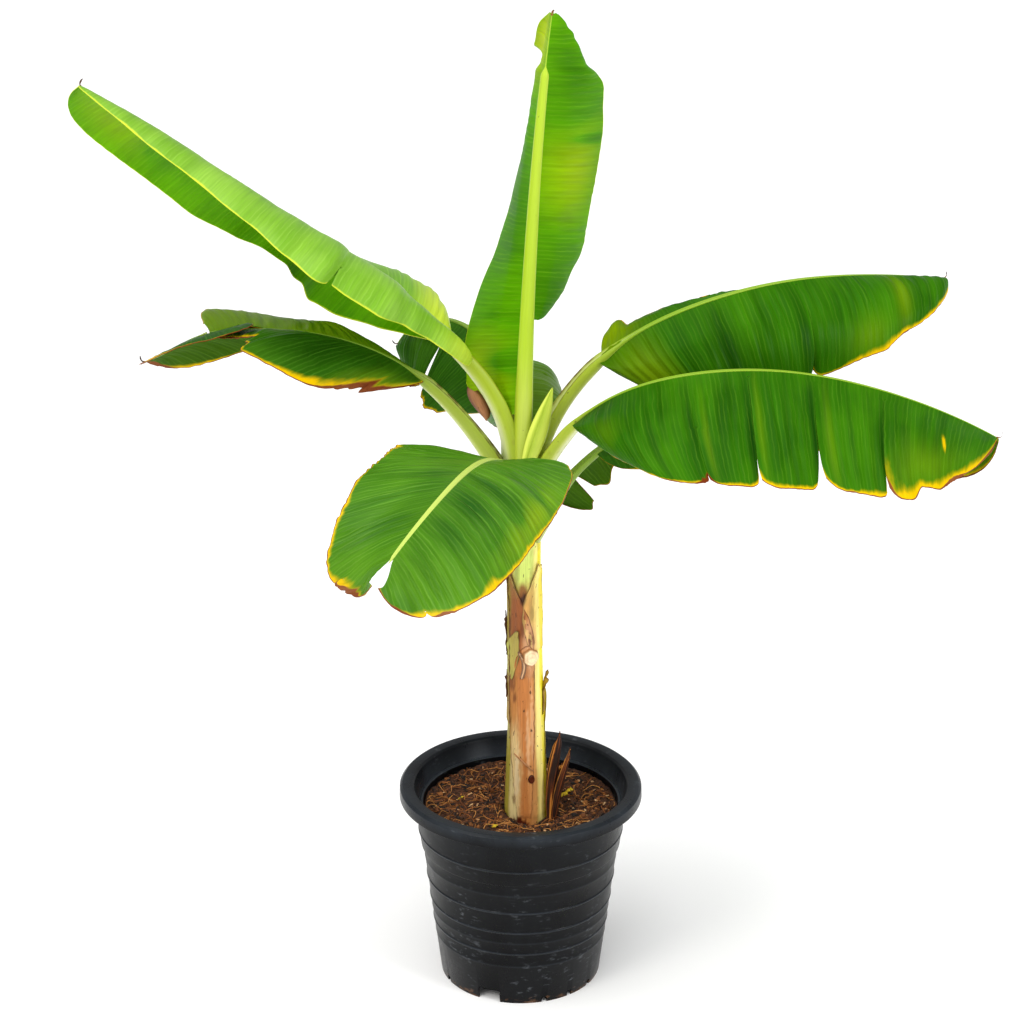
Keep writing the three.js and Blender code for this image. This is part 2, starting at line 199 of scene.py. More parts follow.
class Recipe:
    """A material in the making: its nodes, and the patterns that several finishes share."""

    def __init__(self, name: str) -> None:
        """Starts a material with no nodes.

        Args:
            name: The material's name.
        """
        self.material = bpy.data.materials.new(name)
        self.material.use_nodes = True
        self.tree = self.material.node_tree
        self.tree.nodes.clear()

    def add(self, kind: Kind, inputs: dict[Any, Any], out: int | str = 0, **settings: Any) -> Socket | None:
        """Adds a shader node with its settings, values and links.

        Args:
            kind: What the node is.
            inputs: Socket name or number to a value, a hex colour, or the output that feeds it.
            out: The output that is wanted.
            settings: The node's own properties.

        Returns:
            That output, or None for a node that has none.
        """
        made = self.tree.nodes.new(kind.value)
        for key, value in settings.items():
            setattr(made, key, value)
        for key, value in inputs.items():
            if isinstance(value, Socket):
                self.tree.links.new(value, made.inputs[key])
            else:
                made.inputs[key].default_value = linear_colour(value) if isinstance(value, str) else value
        return made.outputs[out] if made.outputs else None

    def cloud(self, place: Socket, sizes_mm: Sequence[float], detail: float, rough: float) -> Socket:
        """Soft unevenness with a size for each direction.

        Args:
            place: The coordinates it lies on, in metres.
            sizes_mm: The size of its features in each direction, with two on a flat map.
            detail: How many finer layers it has.
            rough: How strong they are.

        Returns:
            A number from about 0.2 to 0.8.
        """
        scale = (*(METRE_MM / size for size in sizes_mm), 1.0)[:3]
        placed = self.add(Kind.STRETCH, {"Vector": place, "Scale": scale})
        return self.add(Kind.NOISE, {"Vector": placed, "Scale": 1.0, "Detail": detail, "Roughness": rough})

    def over(self, tone: Any, mask: Socket, span: Span, colour: Any, most: float = 1.0) -> Socket:
        """Lays a colour over a tone where a mask is high.

        Args:
            tone: The colour below.
            mask: Where the upper colour goes.
            span: The mask's values at which it starts and is full.
            colour: The colour above.
            most: How strong it is at the most.

        Returns:
            The new tone.
        """
        share = self.add(Kind.RANGE, {0: mask, 1: span[0], 2: span[1], 3: 0.0, 4: most})
        return self.add(Kind.MIX, {0: share, 6: tone, 7: colour}, 2, data_type="RGBA")

    def shaded(self, tone: Socket, mask: Socket, span: Span, shades: Span) -> Socket:
        """Makes a tone darker and lighter with a mask.

        Args:
            tone: The colour to shade.
            mask: The pattern of the shades.
            span: The mask's values at the darkest and the lightest.
            shades: What the tone is multiplied by there.

        Returns:
            The new tone.
        """
        grey = self.add(Kind.RANGE, {0: mask, 1: span[0], 2: span[1], 3: shades[0], 4: shades[1]})
        grey = self.add(Kind.GREY, {0: grey, 1: grey, 2: grey})
        return self.add(Kind.MIX, {0: 1.0, 6: tone, 7: grey}, 2, data_type="RGBA", blend_type="MULTIPLY")

    def close(
        self, surface: dict[str, Any], relief: Socket | None = None, strength: float = 1.0,
        depth_mm: float = 1.0,
    ) -> bpy.types.Material:
        """Ends the material with its relief and its main shader.

        Args:
            surface: The main shader's inputs.
            relief: The pattern that stands out of the surface.
            strength: How strongly it shows.
            depth_mm: How far it stands out.

        Returns:
            The finished material.
        """
        if relief is not None:
            bump = {"Strength": strength, "Distance": depth_mm * MM, "Height": relief}
            surface = surface | {"Normal": self.add(Kind.BUMP, bump)}
        self.add(Kind.OUTPUT, {"Surface": self.add(Kind.SHADER, surface)})
        return self.material


@dataclass(frozen=True)
class BladeFinish:
    """One side of a banana leaf: a living blade with a thin waxen bloom, pleated by parallel side veins.

    The waxen bloom gives a soft satin light, the veins give fine pale ribs across the blade, and an ageing
    margin turns yellow and then brown and papery. A map of painted light and shade lays the glow colour on
    lit places and the shade colour on shaded ones. Colours are sRGB hex, and streak sizes are in millimetres.
    """

    name: str
    body: str
    light: str
    shade: str
    glow: str
    vein: str
    roughness: float
    vein_spacing_mm: float = 6.5
    vein_show: float = 0.2
    sheen: float = 0.04
    yellow: str = "#e2b400"
    brown: str = "#6b2c0c"
    parchment: str = "#b98a5c"
    ripple: float = 0.45

    def material(self) -> bpy.types.Material:
        """Builds the leaf material, on the blade's lengthwise map, its yellow and brown maps, and its map of
        painted light and shade.

        Returns:
            The material.
        """
        mix = Recipe(self.name)
        uv = mix.add(Kind.LENGTHWISE, {}, uv_map=UV_NAME)

        def streaks(spacing_mm: float, stretch: float, detail: float) -> Socket:
            """Soft streaks that run with the veins, with their spacing and how much longer they are."""
            return mix.cloud(uv, (spacing_mm, spacing_mm * stretch), detail, 0.55)

        fine, broad = streaks(4.0, 30.0, 3.0), streaks(24.0, 10.0, 2.0)
        cloud, ragged = streaks(130.0, 1.6, 3.0), streaks(9.0, 5.0, 4.0)

        def stained(name: str, span: Span, sway: float, below: Any, above: Any) -> Socket:
            """Lays a stain over a tone as far as it has got, broken up along the veins.

            Args:
                name: The blade's map of how far the stain has got.
                span: The map's values at which it starts and is full.
                sway: How much it is broken up.
                below: The tone below.
                above: The stain's colour.

            Returns:
                The new tone.
            """
            amount = mix.add(Kind.PAINTED, {}, "Fac", attribute_name=name)
            uneven = mix.add(Kind.RANGE, {0: ragged, 1: 0.25, 2: 0.75, 3: -sway, 4: sway})
            total = mix.add(Kind.MATH, {0: amount, 1: uneven}, operation="ADD")
            share = mix.add(Kind.RANGE, {0: total, 1: span[0], 2: span[1]}, interpolation_type="SMOOTHSTEP")
            return mix.add(Kind.MIX, {0: share, 6: below, 7: above}, 2, data_type="RGBA")

        tone = mix.over(mix_colour(self.shade, self.body, 0.45), broad, (0.3, 0.6), self.body)
        tone = mix.over(tone, cloud, (0.45, 0.75), self.light, 0.8)
        # painted light and shade: the glow colour where the map is above 0, the shade colour where it is
        # below
        painted_light_and_shade = mix.add(Kind.PAINTED, {}, "Fac", attribute_name="painted_light_and_shade")
        tone = mix.over(tone, painted_light_and_shade, (0.0, 1.0), self.glow)
        tone = mix.over(tone, painted_light_and_shade, (0.0, -1.0), self.shade)
        # one wave to each vein, which the noise breaks so that no vein runs evenly to the margin
        veins = {"Vector": uv, "Scale": WAVE_MM / self.vein_spacing_mm, "Distortion": 2.2, "Detail": 1.0}
        wave = mix.add(Kind.WAVE, veins, 1)
        ribs = mix.add(Kind.RANGE, {0: wave, 1: 0.7, 2: 1.0, 3: 0.0, 4: self.vein_show})
        shown = mix.add(Kind.RANGE, {0: fine, 1: 0.35, 2: 0.7, 3: 0.1, 4: 1.5})
        weight = mix.add(Kind.MATH, {0: ribs, 1: shown}, operation="MULTIPLY", use_clamp=True)
        tone = mix.over(tone, weight, (0.0, 1.0), self.vein)
        tone = mix.shaded(tone, fine, (0.25, 0.75), (0.86, 1.14))
        tone = stained("yellow", (0.0, 0.8), 0.22, tone, mix_colour(self.yellow, self.light, 0.35))
        tone = stained("yellow", (0.4, 0.95), 0.25, tone, self.yellow)
        dry = mix.over(self.brown, cloud, (0.4, 0.7), self.parchment, 0.4)
        tone = stained("brown", (0.12, 0.45), 0.2, tone, dry)
        low, high = self.roughness - 0.06, self.roughness + 0.08
        rough = mix.add(Kind.RANGE, {0: broad, 1: 0.3, 2: 0.7, 3: low, 4: high})
        relief = mix.add(Kind.MATH, {0: wave, 1: 0.5, 2: fine}, operation="MULTIPLY_ADD")
        surface = {"Base Color": tone, "Roughness": rough, "IOR": 1.42, "Specular IOR Level": self.sheen}
        return mix.close(surface, relief, self.ripple, 0.6)


@dataclass(frozen=True)
class TintedFinish:
    """Plant tissue whose colour changes from place to place, such as a sheath, a stalk or a dry shred.

    The piece's Tint map holds the broad colour. Fibres along the piece give fine streaks and relief, and
    small rusty marks give it age.
    """

    name: str
    roughness: float
    fibre_mm: float = 2.5
    fibre_stretch: float = 22.0
    fibre_depth: float = 0.12
    relief: float = 0.4
    mark: str = "#4a2412"
    mark_mm: float = 9.0
    mark_share: float = 0.0

    def material(self) -> bpy.types.Material:
        """Builds the tissue material, on the piece's own lengthwise map and Tint map.

        Returns:
            The material.
        """
        mix = Recipe(self.name)
        uv = mix.add(Kind.LENGTHWISE, {}, uv_map=UV_NAME)
        fibres = mix.cloud(uv, (self.fibre_mm * self.fibre_stretch, self.fibre_mm), 4.0, 0.6)
        tint = mix.add(Kind.PAINTED, {}, "Color", attribute_name="Tint")
        tone = mix.shaded(tint, fibres, (0.25, 0.75), (1 - self.fibre_depth, 1 + self.fibre_depth))
        if self.mark_share:
            spots = mix.cloud(uv, (self.mark_mm / 0.6, self.mark_mm), 2.0, 0.5)
            edge = 0.78 - self.mark_share
            tone = mix.over(tone, spots, (edge, edge + 0.05), self.mark, 0.85)
        surface = {"Base Color": tone, "Roughness": self.roughness, "IOR": 1.42, "Specular IOR Level": 0.35}
        return mix.close(surface, fibres, self.relief, 0.8)


@dataclass(frozen=True)
class PotPlasticFinish:
    """Injection-moulded recycled polypropylene, black.

    Carbon black gives a deep colour, and a bluish painted highlight lies on the ring crests, the lip and the
    ledge.
    Handling leaves a patchy gloss, pale scuffs and fine scratches, and watering leaves tan dirt that gathers
    toward the foot.
    """

    name: str = "polypropylene_black_moulded"
    body: str = "#050507"
    worn: str = "#0e1013"
    # the bluish colour of the painted highlight
    painted_highlight: str = "#2a2f35"
    scuff: str = "#74797f"
    dirt: str = "#6a4a30"
    roughness: float = 0.3
    wear_mm: tuple[float, float, float] = (71.43, 71.43, 111.1)
    scuff_mm: tuple[float, float, float] = (16.667, 16.667, 6.667)
    speck_mm: tuple[float, float, float] = (3.03, 3.03, 3.03)

    def material(self) -> bpy.types.Material:
        """Builds the pot's plastic, on Object coordinates in metres and the pot's own edge map of painted
        highlight.

        Returns:
            The material.
        """
        mix = Recipe(self.name)
        place = mix.add(Kind.PLACE, {}, "Object")
        height = mix.add(Kind.PART, {0: place}, 2)
        wear = mix.cloud(place, self.wear_mm, 5.0, 0.62)
        scuffs = mix.cloud(place, self.scuff_mm, 6.0, 0.62)
        specks = mix.cloud(place, self.speck_mm, 2.0, 0.62)
        tone = mix.over(self.body, wear, (0.35, 0.7), self.worn)
        # painted highlight: a bluish colour on the ring crests, the lip and the ledge, from the edge map,
        # broken into patches by the wear pattern
        edge = mix.add(Kind.PAINTED, {}, "Fac", attribute_name="edge")
        highlight_patches = mix.add(Kind.RANGE, {0: wear, 1: 0.3, 2: 0.6, 3: 0.45, 4: 1.0})
        highlight_share = mix.add(Kind.MATH, {0: edge, 1: highlight_patches}, operation="MULTIPLY")
        tone = mix.over(tone, highlight_share, (0.0, 1.0), self.painted_highlight)
        low = mix.add(Kind.RANGE, {0: height, 1: 0.0, 2: 0.26, 3: 0.09, 4: 0.0})
        patch = mix.add(Kind.MATH, {0: wear, 1: low}, operation="ADD")
        gate = mix.add(Kind.RANGE, {0: patch, 1: 0.5, 2: 0.68})
        scratch = mix.add(Kind.RANGE, {0: scuffs, 1: 0.57, 2: 0.74})
        scratched = mix.add(Kind.MATH, {0: gate, 1: scratch}, operation="MULTIPLY")
        tone = mix.over(tone, scratched, (0.0, 1.0), self.scuff, 0.5)
        tone = mix.over(tone, specks, (0.74, 0.8), self.scuff, 0.22)
        foot = mix.add(Kind.RANGE, {0: height, 1: 0.0, 2: 0.03, 3: 0.2, 4: -0.2})
        soiled = mix.add(Kind.MATH, {0: scuffs, 1: foot}, operation="ADD")
        tone = mix.over(tone, soiled, (0.62, 0.76), self.dirt, 0.7)
        low, high = self.roughness - 0.1, self.roughness + 0.14
        rough = mix.add(Kind.RANGE, {0: wear, 1: 0.3, 2: 0.7, 3: low, 4: high})
        surface = {"Base Color": tone, "Roughness": rough, "IOR": 1.49, "Specular IOR Level": 0.12}
        return mix.close(surface, scuffs, 0.35, 0.5)


@dataclass(frozen=True)
class CompostFinish:
    """Moist bark and coir compost: dark, matt, crumbly, with the odd paler fibre showing."""

    name: str = "compost_moist"
    dark: str = "#201006"
    light: str = "#6c3c1a"
    grit_mm: float = 4.0

    def material(self) -> bpy.types.Material:
        """Builds the compost, on Object coordinates in metres.

        Returns:
            The material.
        """
        mix = Recipe(self.name)
        place = mix.add(Kind.PLACE, {}, "Object")
        grit = mix.cloud(place, [self.grit_mm] * 3, 5.0, 0.65)
        tone = mix.over(self.dark, grit, (0.35, 0.75), self.light)
        return mix.close({"Base Color": tone, "Roughness": 0.95}, grit, 0.9, 3.0)


@dataclass(frozen=True)
class ScatteredFinish:
    """Loose bits on the compost, coloured bit by bit by the piece's Tint map, matt and fibrous."""

    name: str
    roughness: float = 0.85
    grain_mm: float = 1.5

    def material(self) -> bpy.types.Material:
        """Builds the finish, on the Tint map and Object coordinates in metres.

        Returns:
            The material.
        """
        mix = Recipe(self.name)
        place = mix.add(Kind.PLACE, {}, "Object")
        speck = mix.cloud(place, [self.grain_mm] * 3, 2.0, 0.5)
        tint = mix.add(Kind.PAINTED, {}, "Color", attribute_name="Tint")
        tone = mix.shaded(tint, speck, (0.3, 0.7), (0.75, 1.2))
        return mix.close({"Base Color": tone, "Roughness": self.roughness}, speck, 0.5, 0.6)


# ---------------------------------------------------------------- meshes

Spot = Callable[[float, float], Vector]
Tint = Callable[[float, float], Colour]


def place_grid(bm: bmesh.types.BMesh, along: int, across: int) -> dict[tuple[int, int], bmesh.types.BMVert]:
    """Adds a flat grid and gives each of its vertices its column and row.

    Args:
        bm: The mesh that the grid is added to.
        along: Faces lengthwise.
        across: Faces crosswise.

    Returns:
        The vertices by (column, row).
    """
    made = bmesh.ops.create_grid(bm, x_segments=along, y_segments=across, size=1.0, calc_uvs=False)
    named = {}
    for vert in made["verts"]:
        column = round((vert.co.x + 1) / 2 * along)
        row = round((vert.co.y + 1) / 2 * across)
        named[column, row] = vert
    return named


def lay_surface(
    bm: bmesh.types.BMesh, along: int, across: int, spot: Spot, tint: Tint, round_mm: float
) -> list[bmesh.types.BMVert]:
    """Adds a grid laid on a surface, with its lengthwise map and its Tint.

    Args:
        bm: The mesh that the surface is added to.
        along: Faces lengthwise.
        across: Faces crosswise.
        spot: Gives the point, in millimetres, at shares along and across.
        tint: Gives the colour at shares along and across.
        round_mm: The surface's width, in millimetres, for its lengthwise map.

    Returns:
        The new vertices.
    """
    uv = bm.loops.layers.uv.get(UV_NAME) or bm.loops.layers.uv.new(UV_NAME)
    paint = bm.verts.layers.float_color.get("Tint") or bm.verts.layers.float_color.new("Tint")
    named = place_grid(bm, along, across)
    length = sum((spot((i + 1) / along, 0.5) - spot(i / along, 0.5)).length for i in range(along))
    shares = {vert: (i / along, j / across) for (i, j), vert in named.items()}
    for vert, (s, t) in shares.items():
        vert.co = spot(s, t)
        vert[paint] = tint(s, t)
    for face in {face for vert in shares for face in vert.link_faces}:
        face.smooth = True
        for loop in face.loops:
            s, t = shares[loop.vert]
            loop[uv].uv = (s * length * MM, t * round_mm * MM)
    return list(shares)


def close_tube(bm: bmesh.types.BMesh, verts: list[bmesh.types.BMVert]) -> list[bmesh.types.BMVert]:
    """Joins a rolled grid's long edges and fills its two ends.

    Args:
        bm: The mesh.
        verts: The grid's vertices.

    Returns:
        The vertices that are left.
    """
    bmesh.ops.remove_doubles(bm, verts=verts, dist=JOIN_MM)
    left = [vert for vert in verts if vert.is_valid]
    rims = [edge for edge in {edge for vert in left for edge in vert.link_edges} if edge.is_boundary]
    bmesh.ops.holes_fill(bm, edges=rims, sides=0)
    return left


def face_out(bm: bmesh.types.BMesh) -> None:
    """Turns every face outward."""
    bmesh.ops.recalc_face_normals(bm, faces=bm.faces)


def sharpen_rims(bm: bmesh.types.BMesh) -> None:
    """Makes a sheet's open edges sharp, so that its thickness ends crisply.

    Args:
        bm: The sheet.
    """
    for edge in bm.edges:
        if edge.is_boundary:
            edge.smooth = False


def put(name: str, data: bpy.types.ID) -> bpy.types.Object:
    """Puts a new object into the scene.

    Args:
        name: The object's name.
        data: Its mesh, lamp or camera.

    Returns:
        The object.
    """
    made = bpy.data.objects.new(name, data)
    bpy.context.scene.collection.objects.link(made)
    return made


def put_mesh(name: str, bm: bmesh.types.BMesh) -> bpy.types.Object:
    """Puts a mesh into the scene as a new object.

    Args:
        name: The object's name.
        bm: The mesh, which is freed.

    Returns:
        The object.
    """
    mesh = bpy.data.meshes.new(name)
    bm.to_mesh(mesh)
    bm.free()
    return put(name, mesh)


def make_piece(
    name: str,
    bm: bmesh.types.BMesh,
    finishes: Sequence[bpy.types.Material],
    stands_for: Sequence[str] = (),
) -> bpy.types.Object:
    """Turns a mesh in millimetres into a finished piece in metres.

    Args:
        name: The piece's name.
        bm: The mesh, which is freed.
        finishes: The materials, in the order of the faces' numbers.
        stands_for: The CAD nodes that the piece replaces.

    Returns:
        The new object.
    """
    bmesh.ops.scale(bm, vec=(MM, MM, MM), verts=bm.verts)
    piece = put_mesh(name, bm)
    for finish in finishes:
        piece.data.materials.append(finish)
    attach(piece, BODY)
    if stands_for:
        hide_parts(*stands_for)
    LOG.info("%s: %d faces", name, len(piece.data.polygons))
    return piece


def rolled_piece(
    name: str, grid: tuple[int, int], spot: Spot, tint: Tint, round_mm: float, finish: bpy.types.Material,
    stands_for: Sequence[str] = (),
) -> bpy.types.Object:
    """Builds a closed piece from a grid that is rolled up along its length.

    Args:
        name: The piece's name.
        grid: Faces lengthwise and round.
        spot: Gives the point, in millimetres, at shares along and round.
        tint: Gives the colour there.
        round_mm: The way round the piece, in millimetres, for its lengthwise map.
        finish: Its material.
        stands_for: The CAD nodes that the piece replaces.

    Returns:
        The new object.
    """
    bm = bmesh.new()
    close_tube(bm, lay_surface(bm, *grid, spot, tint, round_mm))
    face_out(bm)
    return make_piece(name, bm, [finish], stands_for)


def thicken(piece: bpy.types.Object, thickness_mm: float, second_finish: bool = False) -> None:
    """Gives a sheet its thickness, below its upper side.

    Args:
        piece: The sheet.
        thickness_mm: Its thickness.
        second_finish: Whether the new side takes the sheet's second material.
    """
    solid = piece.modifiers.new("Thickness", "SOLIDIFY")
    solid.thickness = thickness_mm * MM
    solid.offset = -1.0
    solid.use_rim = True
    solid.material_offset = 1 if second_finish else 0
    solid.material_offset_rim = 0


# ---------------------------------------------------------------- leaf plans


class Age(Enum):
    """How old a leaf is, which sets its colours. The second member is no age: it holds the mature colours
    painted lighter, as painted light on the front and the back leaf, while the mature colours are painted
    darker, as painted shade on the hanging leaves.
    """

    YOUNG = "young"
    FRESH = "fresh"
    MATURE = "mature"
    OLD = "old"


class Stain(Enum):
    """What ageing does to a place on a blade, and the painted light and painted shade laid on places."""

    YELLOW = "yellow"
    BROWN = "brown"
    LIGHT = "light"
    DEEP = "deep"


@dataclass(frozen=True)
class Tear:
    """A split that runs in from the margin along a side vein.

    at is a share of the half's length, depth a share of its width, gap the opening at the margin, and lift
    how far the sides toward the base and the tip stand out of the blade at the margin. corner is the radius
    of the mouth's corners. The higher shut is, the nearer to the margin the tear stays closed.
    """

    at: float
    depth: float
    gap: float = 4.0
    lift: tuple[float, float] = (0.0, 0.0)
    corner: float = 12.0
    shut: float = 5.0


@dataclass(frozen=True)
class Scorch:
    """A place on the margin where yellow or brown reaches further in.

    at is a share of the half's length, spread how far it runs along the margin, and reach how far in it goes.
    """

    kind: Stain
    at: float
    spread: float
    reach: float


@dataclass(frozen=True)
class Fleck:
    """A stained place inside a blade, or a place of painted light or of painted shade, at shares along and
    across, with its size in millimetres.
    """

    kind: Stain
    at: float
    out: float
    along: float
    across: float
    strength: float = 1.0


@dataclass(frozen=True)
class Half:
    """One half of a blade: its width, its rounding at base and tip, and how it folds away from the rib.

    Folds are measured up from the level across the rib, next to the rib and at the margin, at the blade's
    base, middle and tip.
    """

    width: float
    start: float
    base: float
    tip: float
    fold_in: tuple[float, float, float]
    fold_out: tuple[float, float, float]
    outline: Run = ((0.0, 1.0), (1.0, 1.0))
    curl: Run = ((0.0, 0.0), (1.0, 0.0))
    curl_from: float = 0.75
    tears: tuple[Tear, ...] = ()
    scorches: tuple[Scorch, ...] = ()
    flecks: tuple[Fleck, ...] = ()
    yellow_edge: float = 3.0
    brown_edge: float = 1.0
    wave: float = 5.0
    pleat: float = 0.7
    ragged: float = 1.0
    blunt_tip: float = 0.05
    blunt_base: float = 0.05
    slant: float = 0.0
    split: float = 0.0
    split_from: float = 0.94
    bulge: float = 0.0


@dataclass(frozen=True)
class LeafPlan:
    """A leaf: where its stalk leaves the stem, its lengths, and the way its midrib runs.

    Climb and heading are given at the root, the blade's base, its middle and its tip, and roll at the last
    three. Left is the anticlockwise side seen from above.
    """

    name: str
    root: tuple[float, float, float]
    stalk: float
    blade: float
    climb: tuple[float, float, float, float]
    heading: tuple[float, float, float, float]
    roll: tuple[float, float, float]
    sweep: tuple[float, float]
    girth: tuple[float, float, float]
    left: Half
    right: Half
    age: Age = Age.MATURE
    seed: float = 0.0
    rib_end: float = 2.0
    slim: float = 0.6
    # how much pale bloom and painted highlight the stalk shows down its middle
    bloom_and_highlight_share: float = 1.0


YOUNG, FRESH, MATURE, OLD = Age
YELLOW, BROWN, LIGHT, DEEP = Stain
DRY_TIP = (Scorch(YELLOW, 0.9, 60, 12), Scorch(BROWN, 0.95, 40, 5))
DRY_SIDE = (Scorch(YELLOW, 0.5, 200, 5), Scorch(BROWN, 0.85, 60, 5))
DRY_END = (Scorch(YELLOW, 0.85, 100, 8), Scorch(BROWN, 0.92, 60, 5))
TWO_TEARS = (Tear(0.3, 0.6, 5.0, (3, -3)), Tear(0.62, 0.5, 5.0, (-3, 3)))
